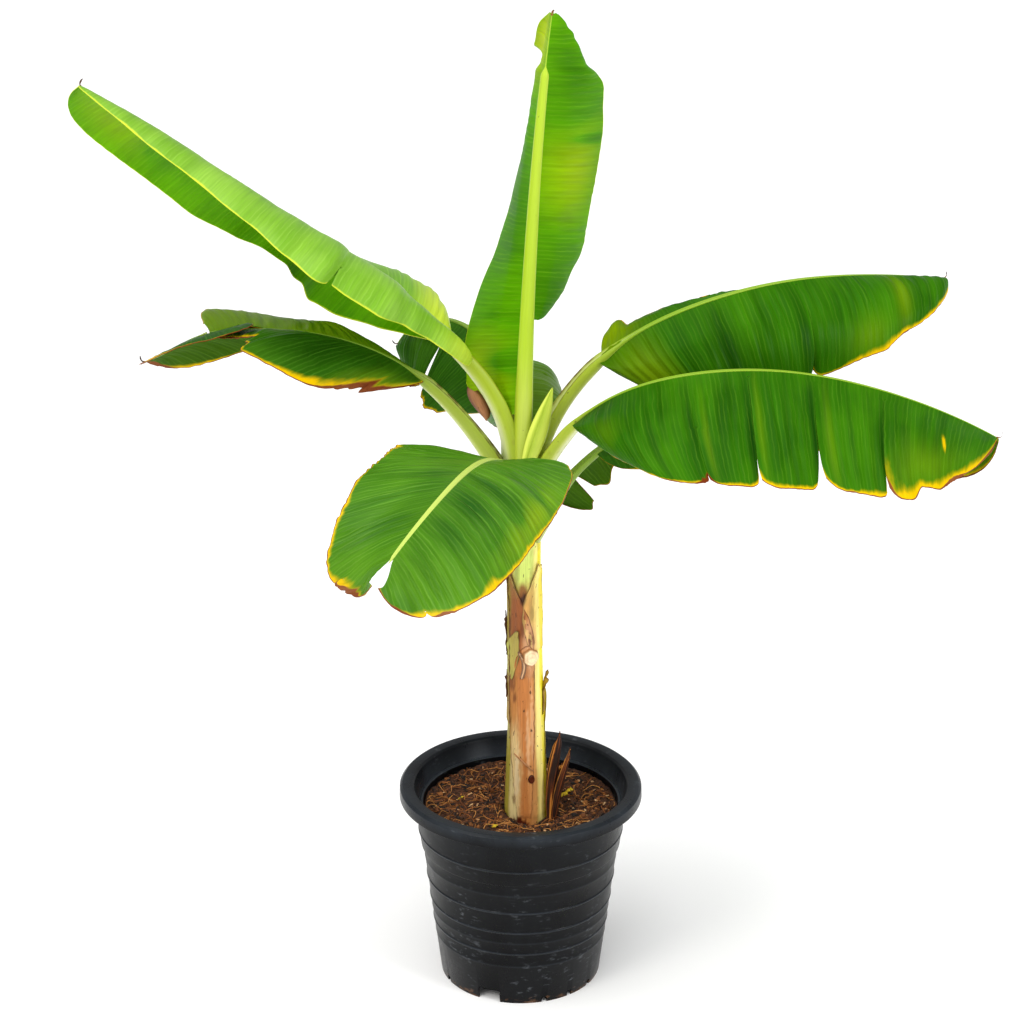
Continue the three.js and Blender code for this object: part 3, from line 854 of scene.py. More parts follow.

# Light and deep flecks are painted light and painted shade on the blades: lit and glowing places, and shade
# in folds and beside the tears.
LEAVES: tuple[LeafPlan, ...] = (
    LeafPlan(
        "upper_left", (-10, 5, 815), 255, 655, (95, 45, 35.5, 33), (175, 187, 177, 174), (15, -10, 5),
        (0, 17), (20, 14, 4), age=YOUNG, seed=1.0, slim=0.7,
        left=Half(
            150, -0.05, 0.15, 0.7, (45, 65, 60), (-80, -35, -50),
            outline=(
                (0, 0.7), (0.12, 0.64), (0.18, 0.8), (0.25, 1.15), (0.33, 1.2), (0.37, 1.38),
                (0.44, 1.2), (0.53, 0.95), (0.7, 0.7), (1, 0.4),
            ),
            tears=(Tear(0.35, 0.2, 8.0, (2.0, -3.0), 26.0, 1.5),),
            flecks=(Fleck(LIGHT, 0.03, 0.6, 45, 120, 0.7),),
            brown_edge=0.0, wave=3.0, pleat=0.15, ragged=0.15,
        ),
        right=Half(
            165, 0, 0.08, 0.86, (78, -25, -20), (-95, -85, -50),
            outline=(
                (0, 1), (0.04, 1.25), (0.08, 1.5), (0.16, 1.68), (0.24, 1.5), (0.32, 1.05), (0.38, 0.82),
                (0.44, 0.78), (0.5, 0.87), (0.6, 0.94), (1, 0.94),
            ),
            flecks=(
                Fleck(LIGHT, 0.05, 0.2, 45, 60, 0.9), Fleck(DEEP, 0.2, 0.15, 40, 25, 0.6),
                Fleck(DEEP, 0.7, 0.5, 60, 40, 0.5), Fleck(LIGHT, 0.85, 0.5, 90, 60, 0.3),
            ),
            yellow_edge=1.5, brown_edge=0.0, ragged=0.6,
        ),
    ),
    LeafPlan(
        "upright", (2, -5, 800), 170, 570, (90, 88, 86, 82), (-60, -30, -30, -30), (-55, -65, -75), (-20, -5),
        (14, 13, 5), age=YOUNG, seed=2.0, slim=1.0, rib_end=0.87, bloom_and_highlight_share=0.1,
        left=Half(
            145, 0.2, 0.3, 0.6, (45, 50, 55), (60, 75, 75),
            outline=((0, 0.6), (0.12, 0.78), (0.28, 0.96), (0.6, 1.09), (0.8, 1.04), (0.9, 0.86), (1, 0.6)),
            curl=((0, 0), (0.76, 0), (0.88, 110), (1, 170)), curl_from=0.66,
            flecks=(
                Fleck(LIGHT, 0.5, 0.5, 70, 70, 0.5), Fleck(DEEP, 0.05, 0.5, 70, 90, 0.8),
                Fleck(DEEP, 0.8, 0.4, 60, 50, 0.6), Fleck(DEEP, 0.6, 0.8, 6, 50, 0.8),
            ),
            yellow_edge=1.0, brown_edge=0.0, wave=3.0, pleat=1.1, ragged=0.3,
        ),
        right=Half(
            150, -0.06, 0.25, 0.6, (45, 65, 70), (60, 85, 100),
            outline=((0, 1), (0.3, 0.92), (0.45, 0.82), (0.7, 0.85), (0.8, 1.0), (1, 0.9)),
            curl=((0, 0), (0.7, 0), (0.8, 110), (0.86, 60), (0.9, -45), (0.96, -60), (1, -30)),
            curl_from=0.35,
            flecks=(
                Fleck(LIGHT, 0.1, 0.6, 70, 70, 0.6), Fleck(DEEP, 0.5, 0.5, 110, 80, 0.7),
                Fleck(LIGHT, 0.92, 0.6, 60, 90, 0.9), Fleck(DEEP, 0.14, 0.15, 16, 60, 0.6),
            ),
            yellow_edge=1.0, brown_edge=0.0, wave=2.0, pleat=0.3, ragged=0.15,
        ),
    ),
    LeafPlan(
        "upper_right", (12, 12, 815), 235, 580, (80, 45, 3, -10), (18, -15, 24, 15), (10, 5, -10), (15, 5),
        (17, 13, 4), seed=3.0, slim=0.4,
        left=Half(
            165, 0, 0.15, 0.7, (50, -45, -30), (-5, -60, -60),
            outline=((0, 0.5), (0.04, 0.42), (0.09, 0.15), (0.3, 0.13), (0.42, 0.5), (0.5, 1), (1, 1)),
            tears=(Tear(0.35, 0.6, 5.0, (3, -4)), Tear(0.62, 0.5, 6.0, (-3, 5))),
            scorches=(Scorch(YELLOW, 0.9, 80, 12), Scorch(BROWN, 0.95, 40, 4)),
            flecks=(Fleck(LIGHT, 0.02, 0.5, 60, 120, 0.8),),
            wave=7.0, pleat=1.2, slant=0.05, bulge=3.0,
        ),
        right=Half(
            150, 0, 0.15, 0.7, (-60, -35, 30), (-90, -90, -90),
            outline=((0, 1), (0.55, 1), (0.7, 0.9), (0.8, 0.8), (0.9, 0.82), (1, 0.8)),
            tears=(
                Tear(0.363, 0.95, 2.0, (1.5, -1.5), 5.0, 8.0), Tear(0.56, 0.94, 8.0, (1.5, -1.5), 14.0, 8.0),
            ),
            scorches=(
                Scorch(YELLOW, 0.72, 60, 8), Scorch(YELLOW, 0.95, 50, 6),
                Scorch(BROWN, 0.8, 16, 2), Scorch(BROWN, 0.93, 15, 2),
            ),
            flecks=(
                Fleck(LIGHT, 0.08, 0.6, 45, 80, 0.5), Fleck(DEEP, 0.32, 0.5, 20, 80, 0.9),
                Fleck(DEEP, 0.22, 0.4, 16, 60, 0.5), Fleck(LIGHT, 0.83, 0.5, 12, 60, 0.35),
                Fleck(LIGHT, 0.72, 0.8, 30, 30, 0.22), Fleck(DEEP, 0.53, 0.5, 9, 60, 0.6),
            ),
            yellow_edge=4.0, brown_edge=0.8, wave=6.0, pleat=1.2, slant=0.05, bulge=3.0,
        ),
    ),
    LeafPlan(
        "lower_right", (10, -2, 805), 160, 670, (68, 46, -7, -21), (-18, -38, 8, -28), (5, 0, -20), (30, 15),
        (16, 12, 4), seed=4.0, slim=0.4,
        left=Half(
            150, 0, 0.15, 0.7, (-75, -60, -45), (-90, -80, -70),
            tears=(Tear(0.3, 0.6, 5.0, (3, -3)), Tear(0.55, 0.6, 6.0, (-3, 3)), Tear(0.8, 0.5, 6.0, (3, 0))),
            scorches=(Scorch(YELLOW, 0.85, 80, 12), Scorch(BROWN, 0.9, 40, 4)),
            wave=7.0, pleat=1.2, slant=0.08, bulge=4.0,
        ),
        right=Half(
            205, 0, 0.15, 0.7, (-10, -40, -20), (-95, -45, -30),
            outline=((0, 1), (0.72, 1), (0.76, 0.9), (0.85, 1), (1, 1)),
            tears=(
                Tear(0.3, 0.5, 3.0, (1.5, -1.5), 12.0, 8.0), Tear(0.427, 0.94, 6.0, (-1.5, 1.5), 24.0, 12.0),
                Tear(0.575, 0.93, 16.0, (-1.5, 1.5), 32.0, 8.0), Tear(0.74, 0.9, 9.0, (-1.5, 1.5), 24.0, 8.0),
            ),
            scorches=(
                Scorch(YELLOW, 0.6, 25, 8), Scorch(YELLOW, 0.71, 30, 24),
                Scorch(YELLOW, 0.85, 50, 18), Scorch(YELLOW, 0.97, 40, 20),
                Scorch(YELLOW, 0.36, 60, 4), Scorch(BROWN, 0.195, 9, 12),
                Scorch(BROWN, 0.66, 8, 8), Scorch(BROWN, 0.88, 20, 10),
                Scorch(BROWN, 0.99, 14, 12), Scorch(BROWN, 0.12, 14, 2),
            ),
            flecks=(
                Fleck(YELLOW, 0.86, 0.5, 3.0, 30.0, 0.9), Fleck(DEEP, 0.36, 0.35, 12, 50, 0.5),
                Fleck(DEEP, 0.415, 0.6, 8, 110, 1.0), Fleck(DEEP, 0.562, 0.6, 7, 110, 1.0),
                Fleck(DEEP, 0.727, 0.6, 7, 90, 0.9), Fleck(DEEP, 0.29, 0.5, 7, 80, 0.8),
                Fleck(LIGHT, 0.44, 0.5, 5, 90, 0.22), Fleck(LIGHT, 0.6, 0.6, 6, 90, 0.2),
                Fleck(DEEP, 0.2, 0.6, 6, 80, 0.6), Fleck(DEEP, 0.14, 0.75, 20, 30, 0.4),
                Fleck(DEEP, 0.5, 0.5, 5, 90, 0.4), Fleck(LIGHT, 0.32, 0.6, 5, 70, 0.2),
                Fleck(DEEP, 0.65, 0.5, 5, 80, 0.4), Fleck(LIGHT, 0.1, 0.5, 25, 60, 0.14),
                Fleck(LIGHT, 0.84, 0.75, 60, 50, 0.22), Fleck(DEEP, 0.05, 0.05, 60, 30, 0.5),
            ),
            yellow_edge=6.5, brown_edge=2.2, wave=6.0, pleat=1.3, slant=0.12, bulge=6.0,
        ),
    ),
    LeafPlan(
        "front", (0, -22, 780), 155, 510, (75, 30, 5, -45), (-108, -103, -106, -138), (0, -5, 10), (45, 30),
        (15, 9, 4), age=FRESH, seed=5.0, rib_end=0.94, slim=0.75,
        left=Half(
            180, 0, 0.15, 0.7, (5, 0, 10), (-5, -40, -30),
            outline=((0, 0.95), (0.12, 0.98), (0.3, 0.98), (0.6, 0.95), (0.8, 0.92), (1, 0.94)),
            tears=(Tear(0.91, 0.06, 6.0, (0, 0), 10.0, 1.5),),
            scorches=(
                Scorch(YELLOW, 0.72, 16, 16), Scorch(YELLOW, 0.9, 40, 8), Scorch(YELLOW, 0.55, 90, 5),
                Scorch(BROWN, 0.87, 12, 6), Scorch(BROWN, 0.97, 16, 7), Scorch(BROWN, 0.7, 20, 2),
            ),
            flecks=(
                Fleck(DEEP, 0.63, 0.28, 26, 45, 1.0), Fleck(DEEP, 0.5, 0.35, 16, 70, 0.8),
                Fleck(DEEP, 0.35, 0.5, 12, 70, 0.5), Fleck(LIGHT, 0.45, 0.85, 80, 30, 0.4),
                Fleck(DEEP, 0.75, 0.3, 12, 60, 0.7), Fleck(DEEP, 0.86, 0.5, 12, 60, 0.4),
            ),
            yellow_edge=4.2, brown_edge=1.2, wave=6.0, pleat=1.6, split=20.0, split_from=0.9,
        ),
        right=Half(
            155, 0, 0.15, 0.7, (10, 0, -20), (0, -15, -45),
            outline=((0, 0.98), (0.4, 0.95), (0.7, 0.94), (1, 0.96)),
            tears=(Tear(0.86, 0.1, 5.0, (0, 4), 10.0, 1.5),),
            scorches=(
                Scorch(YELLOW, 0.13, 34, 10), Scorch(YELLOW, 0.66, 60, 6),
                Scorch(YELLOW, 0.9, 30, 26), Scorch(BROWN, 0.92, 18, 22),
            ),
            flecks=(Fleck(DEEP, 0.5, 0.2, 90, 25, 0.4), Fleck(DEEP, 0.75, 0.3, 20, 60, 0.4)),
            curl=((0, 0), (0.82, 0), (0.92, 60), (1, 30)), yellow_edge=4.0, brown_edge=1.4, wave=6.0,
            pleat=1.2, split=16.0, split_from=0.9,
        ),
    ),
    LeafPlan(
        "lower_left", (-6, -4, 802), 248, 335, (65, 42, 6, -7), (186, 196, 165, 182), (-5, 15, 5), (40, 20),
        (20, 12, 6), age=OLD, seed=6.0, slim=0.35,
        left=Half(
            170, 0, 0.3, 0.6, (-30, 5, 0), (-65, -25, -30),
            outline=(
                (0, 1), (0.07, 1.05), (0.09, 0.86), (0.2, 0.98), (0.45, 0.98), (0.55, 0.7), (0.66, 0.35),
                (1, 0.2),
            ),
            scorches=(
                Scorch(BROWN, 0.09, 26, 42), Scorch(YELLOW, 0.1, 50, 50),
                Scorch(YELLOW, 0.5, 90, 4), Scorch(YELLOW, 0.8, 40, 8), Scorch(BROWN, 0.8, 30, 3),
            ),
            flecks=(
                Fleck(LIGHT, 0.06, 0.7, 50, 60, 0.5), Fleck(LIGHT, 0.6, 0.3, 40, 40, 0.25),
                Fleck(DEEP, 0.35, 0.5, 40, 60, 0.6),
            ),
            brown_edge=1.2, pleat=1.2,
        ),
        right=Half(
            125, 0, 0.3, 0.9, (-5, 20, 20), (-35, -10, -10),
            outline=((0, 1), (0.3, 0.92), (0.6, 0.88), (0.85, 1), (1, 1)),
            scorches=(Scorch(YELLOW, 1.0, 50, 6), Scorch(BROWN, 1.0, 30, 3)),
            flecks=(Fleck(LIGHT, 0.55, 0.6, 260, 160, 1.1),),
            yellow_edge=1.5, brown_edge=0.5, wave=4.0, pleat=1.0, blunt_tip=0.3,
        ),
    ),
    LeafPlan(
        "lower_left_tip", (-463, -10, 1062), 0, 128, (-20, -30, -30, -25), (160, 155, 150, 150), (0, 0, 0),
        (-30, 15), (5, 5, 3), age=OLD, seed=7.0,
        left=Half(
            40, -0.6, 0.1, 0.3, (10, 10, 10), (-20, -20, -20),
            scorches=(Scorch(BROWN, 0.97, 16, 16), Scorch(YELLOW, 0.9, 50, 10)),
            brown_edge=1.5, wave=4.0,
        ),
        right=Half(
            70, -0.4, 0.1, 0.3, (-35, -35, -35), (-50, -45, -45),
            outline=((0, 1.25), (1, 1)),
            scorches=(Scorch(BROWN, 0.97, 16, 22), Scorch(YELLOW, 0.9, 50, 10)),
            brown_edge=1.5, wave=4.0,
        ),
    ),
    LeafPlan(
        "low_right", (12, -6, 742), 62, 510, (60, 56, 5, -28), (8, 11, 20, 26), (0, 0, 0), (-5, 15),
        (21, 19, 4), age=OLD, seed=8.0,
        left=Half(
            120, 0, 0.2, 0.7, (-70, -50, -40), (-85, -80, -80),
            outline=(
                (0, 1.3), (0.04, 1.15), (0.08, 0.85), (0.1, 0.15), (0.125, 0.6), (0.17, 0.7), (0.23, 0.5),
                (0.32, 0.6), (1, 0.8),
            ),
            tears=(Tear(0.3, 0.7, 6.0, (3, -3)), Tear(0.6, 0.5, 4.0, (-3, 3))),
            scorches=DRY_TIP,
            yellow_edge=2.0, wave=7.0, bulge=4.0,
        ),
        right=Half(
            105, 0.2, 0.2, 0.7, (-10, -25, -30), (-80, -80, -80),
            outline=((0, 0.6), (0.4, 0.6), (1, 0.75)),
            tears=(Tear(0.14, 0.9, 8.0, (3, -3), 14.0), Tear(0.5, 0.5, 5.0, (3, -3))),
            scorches=DRY_TIP,
            yellow_edge=2.0, bulge=4.0,
        ),
    ),
    LeafPlan(
        "back_left", (-15, 15, 770), 160, 305, (82, 72, 15, -60), (90, 110, 140, 150), (0, 0, 0), (-15, 20),
        (16, 12, 4), age=OLD, seed=9.0,
        left=Half(
            110, 0, 0.1, 0.7, (-60, -45, -40), (-85, -75, -70),
            outline=((0, 0.5), (0.1, 0.8), (0.2, 1.12), (0.32, 1.2), (0.45, 1.15), (0.6, 1), (1, 1)),
            tears=(Tear(0.56, 0.7, 24.0, (3, -3), 12.0, 1.0), Tear(0.75, 0.5, 5.0, (3, 0))),
            scorches=DRY_SIDE,
            wave=7.0, ragged=1.5, bulge=4.0,
        ),
        right=Half(
            60, 0.05, 0.2, 0.7, (-30, -35, -35), (-75, -75, -70),
            tears=TWO_TEARS,
            scorches=DRY_SIDE,
            wave=7.0, ragged=1.5, bulge=4.0,
        ),
    ),
    LeafPlan(
        "back", (2, 25, 770), 122, 340, (80, 50, -5, -45), (90, 90, 88, 88), (0, 0, 0), (15, 20),
        (16, 12, 4), age=FRESH, seed=10.0,
        left=Half(
            110, 0, 0.3, 0.7, (-50, -55, -45), (-85, -85, -75),
            tears=TWO_TEARS,
            scorches=DRY_END,
            yellow_edge=2.0, wave=7.0, bulge=4.0,
        ),
        right=Half(
            78, 0, 0.15, 0.7, (-15, -20, -20), (-85, -80, -75),
            tears=(Tear(0.4, 0.6, 5.0, (3, -3)), Tear(0.72, 0.5, 5.0, (-3, 3))),
            scorches=DRY_END,
            flecks=(Fleck(LIGHT, 0.2, 0.5, 120, 120, 0.2),),
            yellow_edge=2.0, wave=7.0, bulge=4.0,
        ),
    ),
)


# ---------------------------------------------------------------- leaves


@dataclass(frozen=True)
class Bearing:
    """A place on a line with its directions along, across and up."""

    place: Vector
    along: Vector
    across: Vector
    up: Vector


class Midrib:
    """The line of a leaf's stalk and midrib, worked out in small steps from its plan."""

    STEPS = 160

    def __init__(self, plan: LeafPlan) -> None:
        """Walks the line from the root to the tip.

        Args:
            plan: The leaf's plan.
        """
        self.plan = plan
        self.length = plan.stalk + plan.blade
        self.blade_start = plan.stalk / self.length
        start = self.blade_start
        stations = (0.0, start, (1 + start) / 2, 1.0) if plan.stalk else (0.0, 1 / 3, 2 / 3, 1.0)
        self.bearings: list[Bearing] = []
        place = Vector(plan.root)
        before: Vector | None = None
        for i in range(self.STEPS + 1):
            share = i / self.STEPS
            climb = math.radians(smooth_run(stations, plan.climb, share))
            heading = math.radians(smooth_run(stations, plan.heading, share))
            along = way_to(climb, heading)
            if before is not None:
                place = place + (along + before) * (self.length / self.STEPS / 2)
            before = along
            level = Vector((-math.sin(heading), math.cos(heading), 0.0))
            up = along.cross(level)
            roll = math.radians(base_middle_tip(plan.roll, clamp((share - start) / (1 - start))))
            across = level * math.cos(roll) + up * math.sin(roll)
            self.bearings.append(Bearing(place, along, across, up * math.cos(roll) - level * math.sin(roll)))

    def at(self, share: float) -> Bearing:
        """Reads the line, which runs straight on before its root.

        Args:
            share: The share of the whole line.

        Returns:
            The bearing there.
        """
        if share < 0:
            root = self.bearings[0]
            return Bearing(root.place + root.along * (share * self.length), root.along, root.across, root.up)
        where = clamp(share) * self.STEPS
        low = min(int(where), self.STEPS - 1)
        t = where - low
        a, b = self.bearings[low], self.bearings[low + 1]
        return Bearing(
            a.place.lerp(b.place, t), a.along.lerp(b.along, t), a.across.lerp(b.across, t), a.up.lerp(b.up, t)
        )

    def half_width(self, share: float) -> float:
        """Half the rib's width.

        Args:
            share: The share of the whole line.

        Returns:
            Millimetres.
        """
        root, base, tip = self.plan.girth
        if 0 <= share < self.blade_start:
            return lerp(root, base, share / self.blade_start)
        t = max(share - self.blade_start, 0.0) / (1 - self.blade_start)
        thinned = 1 - 0.93 * ease(-0.03, 0.0, t - self.plan.rib_end)
        return lerp(base, tip, math.sqrt(t) * 0.35 + t * 0.65) * thinned


class BladeHalf:
    """One half of a leaf's blade, with its tears, stains, pleats and curl."""

    THICKNESS = 0.9
    CELL_ALONG = 2.6
    CELL_ACROSS = 4.0
    LAP = 2.0

    def __init__(self, midrib: Midrib, plan: Half, side: int) -> None:
        """Notes what the half is built from.

        Args:
            midrib: The leaf's midrib.
            plan: The half's plan.
            side: 1 for the left half and -1 for the right.
        """
        self.midrib = midrib
        self.plan = plan
        self.side = side
        self.seed = midrib.plan.seed + (0.5 if side < 0 else 0.0)
        self.length = midrib.plan.blade * (1 - plan.start)
        self.columns = max(24, round(self.length / self.CELL_ALONG))
        self.rows = max(12, round(plan.width / self.CELL_ACROSS))

    def width(self, share: float, lane: float) -> float:
        """The half's width, in millimetres.

        Args:
            share: The share of the half's own length.
            lane: The share at the rib of the vein that runs through the place.

        Returns:
            The width there.
        """
        plan = self.plan

        def rounded(gone: float, blunt: float) -> float:
            """A quarter round that ends a little blunt."""
            return math.sqrt(max(1 - gone * gone, blunt * blunt))

        base = rounded((plan.base - share) / plan.base, plan.blunt_base) if share < plan.base else 1.0
        tip = rounded((share - plan.tip) / (1 - plan.tip), plan.blunt_tip) if share > plan.tip else 1.0
        along = share * self.length
        sizes = ((55, 1.0, 2.5), (16, 2.0, 1.2), (6, 3.0, 0.5))
        uneven = sum(grain(along / size, row, self.seed) * deep for size, row, deep in sizes) * plan.ragged
        width = plan.width * base * tip * run_at(plan.outline, share) + uneven * base * tip
        for tear in plan.tears:
            near = abs(lane - tear.at) * self.length
            if near < tear.corner:
                gone = tear.corner - near
                width -= tear.corner - math.sqrt(tear.corner**2 - gone**2)
        scorched = sum(
            math.exp(-(((share - s.at) * self.length / s.spread) ** 2)) * s.reach
            for s in plan.scorches
            if s.kind is BROWN
        )
        width -= scorched * 0.25 * (0.6 + grain(along / 5, 4.0, self.seed))
        return max(width, 0.4)

    def spread(self, lane: float, out: float) -> float:
        """Moves a vein away from the tears, so that they open, and slants it toward the base.

        Args:
            lane: The vein's share at the rib.
            out: The share across the half.

        Returns:
            The share along the half.
        """
        share = lane
        cell = self.length / self.columns
        for tear in self.plan.tears:
            opened = self.opening(tear, out)
            if out < 1 - tear.depth:
                continue
            away = lane * self.columns - int(tear.at * self.columns) - 0.5
            push = (opened - cell) / 2 * math.exp(-max(abs(away) - 0.5, 0.0) * cell / 16.0)
            share += (push if away > 0 else -push) / self.length
        return clamp(share - self.plan.slant * out * 4 * lane * (1 - lane))

    def opening(self, tear: Tear, out: float) -> float:
        """How wide a tear stands open.

        Args:
            tear: The tear.
            out: The share across.

        Returns:
            Millimetres, or 0 nearer to the rib than the tear reaches.
        """
        inner = 1 - tear.depth
        if out < inner:
            return 0.0
        return tear.gap * ((out - inner) / tear.depth) ** tear.shut - self.LAP

    def lift(self, lane: float, out: float) -> float:
        """How far the tears lift a place out of the blade.

        Args:
            lane: The share at the rib of the vein through the place.
            out: The share across.

        Returns:
            Millimetres.
        """
        total = 0.0
        places = [0.0, *(tear.at for tear in self.plan.tears), 1.0]
        for low, high in zip(places, places[1:]):
            if low <= lane < high:
                arch = 1 - (2 * (lane - low) / (high - low) - 1) ** 2
                total += self.plan.bulge * arch * ease(0.0, 0.5, out)
        for tear in self.plan.tears:
            inner = 1 - tear.depth
            if out <= inner:
                continue
            away = (lane * self.columns - int(tear.at * self.columns) - 0.5) * self.length / self.columns
            amount = tear.lift[0] if away < 0 else tear.lift[1]
            total += amount * ((out - inner) / tear.depth) ** 0.8 * math.exp(-abs(away) / 30.0)
        return total

    def reach(self, fold_in: float, fold_out: float, curl: float, out: float) -> tuple[float, float, float]:
        """Follows the fold out from the rib.

        Args:
            fold_in: The fold next to the rib.
            fold_out: The fold at the margin, before any curl.
            curl: The extra turn of the outer part.
            out: The share of the width gone.

        Returns:
            How far it has gone sideways and upward for each unit of width, and the fold there.
        """

        def arc(first: float, turn: float, length: float, share: float) -> tuple[float, float]:
            """Follows an even turn over a length.

            Args:
                first: The fold at its start.
                turn: How far it turns.
                length: Its length.
                share: The share of it gone.

            Returns:
                How far it has gone sideways and upward.
            """
            if abs(turn) < 1e-3:
                return math.cos(first) * length * share, math.sin(first) * length * share
            fold = first + turn * share
            return (
                (math.sin(fold) - math.sin(first)) / turn * length,
                (math.cos(first) - math.cos(fold)) / turn * length,
            )

        knee = self.plan.curl_from
        turn = fold_out - fold_in
        if out <= knee or abs(curl) < 1e-3:
            side, up = arc(fold_in, turn, 1.0, out)
            return side, up, fold_in + turn * out
        side, up = arc(fold_in, turn, 1.0, knee)
        first = fold_in + turn * knee
        more = turn * (1 - knee) + curl
        share = (out - knee) / (1 - knee)
        side_more, up_more = arc(first, more, 1 - knee, share)
        return side + side_more, up + up_more, first + more * share

    def wave(self, along: float, out: float, brown: float) -> float:
        """How far pleats and waves stand out of the blade.

        Args:
            along: Millimetres along the half.
            out: The share across it.
            brown: How dry the place is.

        Returns:
            Millimetres.
        """
        plan = self.plan
        phase = along / 19.0 + 1.3 * grain(along / 45, out * 0.7, self.seed)
        pleat = math.sin(2 * math.pi * phase) * (0.8 + 1.1 * grain(along / 70, out * 2, self.seed + 3))
        pleat *= 1 - 0.7 * ease(0.8, 1.0, out)
        slow = grain(along / 125, out * 0.9, self.seed + 11)
        quick = grain(along / 42, out * 1.3, self.seed + 17)
        crinkle = grain(along / 9, out * 14, self.seed + 23)
        return (
            plan.pleat * pleat * ease(0.0, 0.2, out)
            + plan.wave * (slow * 1.5 + quick * 0.55) * ease(0.0, 0.9, out)
            + 2.2 * crinkle * clamp(brown * 1.5)
        )

    def stain(self, kind: Stain, share: float, out: float, edge: float) -> float:
        """How far a stain has got at a place: above 0 from its border to 1 at the margin.

        Args:
            kind: The stain.
            share: The share along the half.
            out: The share across it.
            edge: Millimetres to the nearest margin.

        Returns:
            The amount, -1 to 1.
        """
        plan = self.plan
        deep = plan.yellow_edge if kind is YELLOW else plan.brown_edge
        along = share * self.length
        deep *= 1.0 + 0.7 * grain(along / 24, 5.0 + (kind is BROWN), self.seed)
        for scorch in plan.scorches:
            if scorch.kind is kind:
                far = (share - scorch.at) * self.length / scorch.spread
                deep += scorch.reach * math.exp(-far * far)
        amount = 1 - edge / deep if deep > 0.3 else -1.0
        for fleck in plan.flecks:
            if fleck.kind is kind:
                amount = max(amount, fleck.strength * (1.2 * self.nearness(fleck, share, out) - 0.2))
        return max(amount, -1.0)

    def nearness(self, fleck: Fleck, at: float, out: float) -> float:
        """How near a place is to a fleck.

        Args:
            fleck: The fleck.
            at: The share along the half.
            out: The share across it.

        Returns:
            1 at the fleck's middle, falling to 0.
        """
        a = (at - fleck.at) * self.length / fleck.along
        b = (out - fleck.out) * self.plan.width / fleck.across
        return math.exp(-a * a - b * b)

    def painted_light_and_shade(self, lane: float, out: float) -> float:
        """The painted light and painted shade on a place, from its light and deep flecks.

        Args:
            lane: The share at the rib of the vein through the place.
            out: The share across.

        Returns:
            Painted light up to 1, painted shade down to -1.
        """
        total = 0.0
        for fleck in self.plan.flecks:
            if fleck.kind in (LIGHT, DEEP):
                way = 1 if fleck.kind is LIGHT else -1
                total += way * fleck.strength * self.nearness(fleck, lane, out)
        return clamp(total, -1.0, 1.0)

    def edge(self, lane: float, out: float, width: float) -> float:
        """How far a place is from the nearest margin, with the mouths of the tears as margin.

        Args:
            lane: The share at the rib of the vein through the place.
            out: The share across.
            width: The half's width there.

        Returns:
            Millimetres.
        """
        inward = (1 - out) * width
        nearest = inward
        for tear in self.plan.tears:
            if out > 1 - tear.depth:
                near = abs(lane - tear.at) * self.length - self.length / self.columns / 2
                nearest = min(nearest, max(near, 0.0) + 0.3 + inward * 0.3)
        return nearest

    def spot(self, lane: float, out: float) -> tuple[Vector, Vector, float, float]:
        """Where a place of the blade is, before its waves.

        Args:
            lane: The share at the rib of the vein through the place.
            out: The share across.

        Returns:
            The point, the blade's normal, the share along and the width there.
        """
        plan, midrib, leaf = self.plan, self.midrib, self.midrib.plan
        share = self.spread(lane, out)
        blade_share = plan.start + (1 - plan.start) * share
        whole = midrib.blade_start + (1 - midrib.blade_start) * blade_share
        bearing = midrib.at(whole)
        fold_in = math.radians(base_middle_tip(plan.fold_in, blade_share))
        fold_out = math.radians(base_middle_tip(plan.fold_out, blade_share))
        curl = math.radians(run_at(plan.curl, share))
        sweep = math.radians(lerp(leaf.sweep[0], leaf.sweep[1], blade_share))
        width = self.width(share, lane)
        side, up, fold = self.reach(fold_in, fold_out, curl, out)
        rib = midrib.half_width(whole)
        start = lerp(rib * leaf.slim * 0.4, rib + 2.1, ease(0.0, 0.35, out))
        start += plan.split * ease(plan.split_from, 1.0, share) * (1 - out)
        point = (
            bearing.place
            + bearing.across * (self.side * (start + side * width * math.cos(sweep)))
            + bearing.up * (up * width * math.cos(sweep))
            + bearing.along * (out * width * math.sin(sweep))
        )
        normal = bearing.across * (-self.side * math.sin(fold)) + bearing.up * math.cos(fold)
        return point, normal, share, width

    def build(self, materials: tuple[bpy.types.Material, bpy.types.Material]) -> bpy.types.Object:
        """Builds the half as a thin sheet with an upper and an under side.

        Args:
            materials: The upper and the under finish.

        Returns:
            The new piece.
        """
        bm = bmesh.new()
        uv = bm.loops.layers.uv.new(UV_NAME)
        yellow = bm.verts.layers.float.new("yellow")
        brown = bm.verts.layers.float.new("brown")
        painted_light_and_shade = bm.verts.layers.float.new("painted_light_and_shade")
        named = place_grid(bm, self.columns, self.rows)
        flat = {}
        for (i, j), vert in named.items():
            lane, out = i / self.columns, j / self.rows
            point, normal, share, width = self.spot(lane, out)
            edge = self.edge(lane, out, width)
            vert[yellow] = self.stain(YELLOW, share, out, edge)
            vert[brown] = self.stain(BROWN, share, out, edge)
            # painted light and painted shade from the light and deep flecks
            vert[painted_light_and_shade] = self.painted_light_and_shade(lane, out)
            lane_mm = lane * self.length
            rise = self.wave(lane_mm, out, vert[brown]) * clamp(width / 60) + self.lift(lane, out)
            vert.co = point + normal * rise
            flat[vert] = (lane_mm * MM, out * width * MM)
        slits = []
        for tear in self.plan.tears:
            first = int(tear.at * self.columns)
            for j in range(self.rows):
                if (j + 0.5) / self.rows < 1 - tear.depth:
                    continue
                corners = {named[first, j], named[first + 1, j], named[first, j + 1], named[first + 1, j + 1]}
                slits += [face for face in named[first, j].link_faces if set(face.verts) == corners]
        for face in bm.faces:
            face.smooth = True
            for loop in face.loops:
                loop[uv].uv = flat[loop.vert]
        bmesh.ops.delete(bm, geom=slits, context="FACES")
        if self.side < 0:
            bmesh.ops.reverse_faces(bm, faces=bm.faces)
        sharpen_rims(bm)
        word = "left" if self.side > 0 else "right"
        name = self.midrib.plan.name
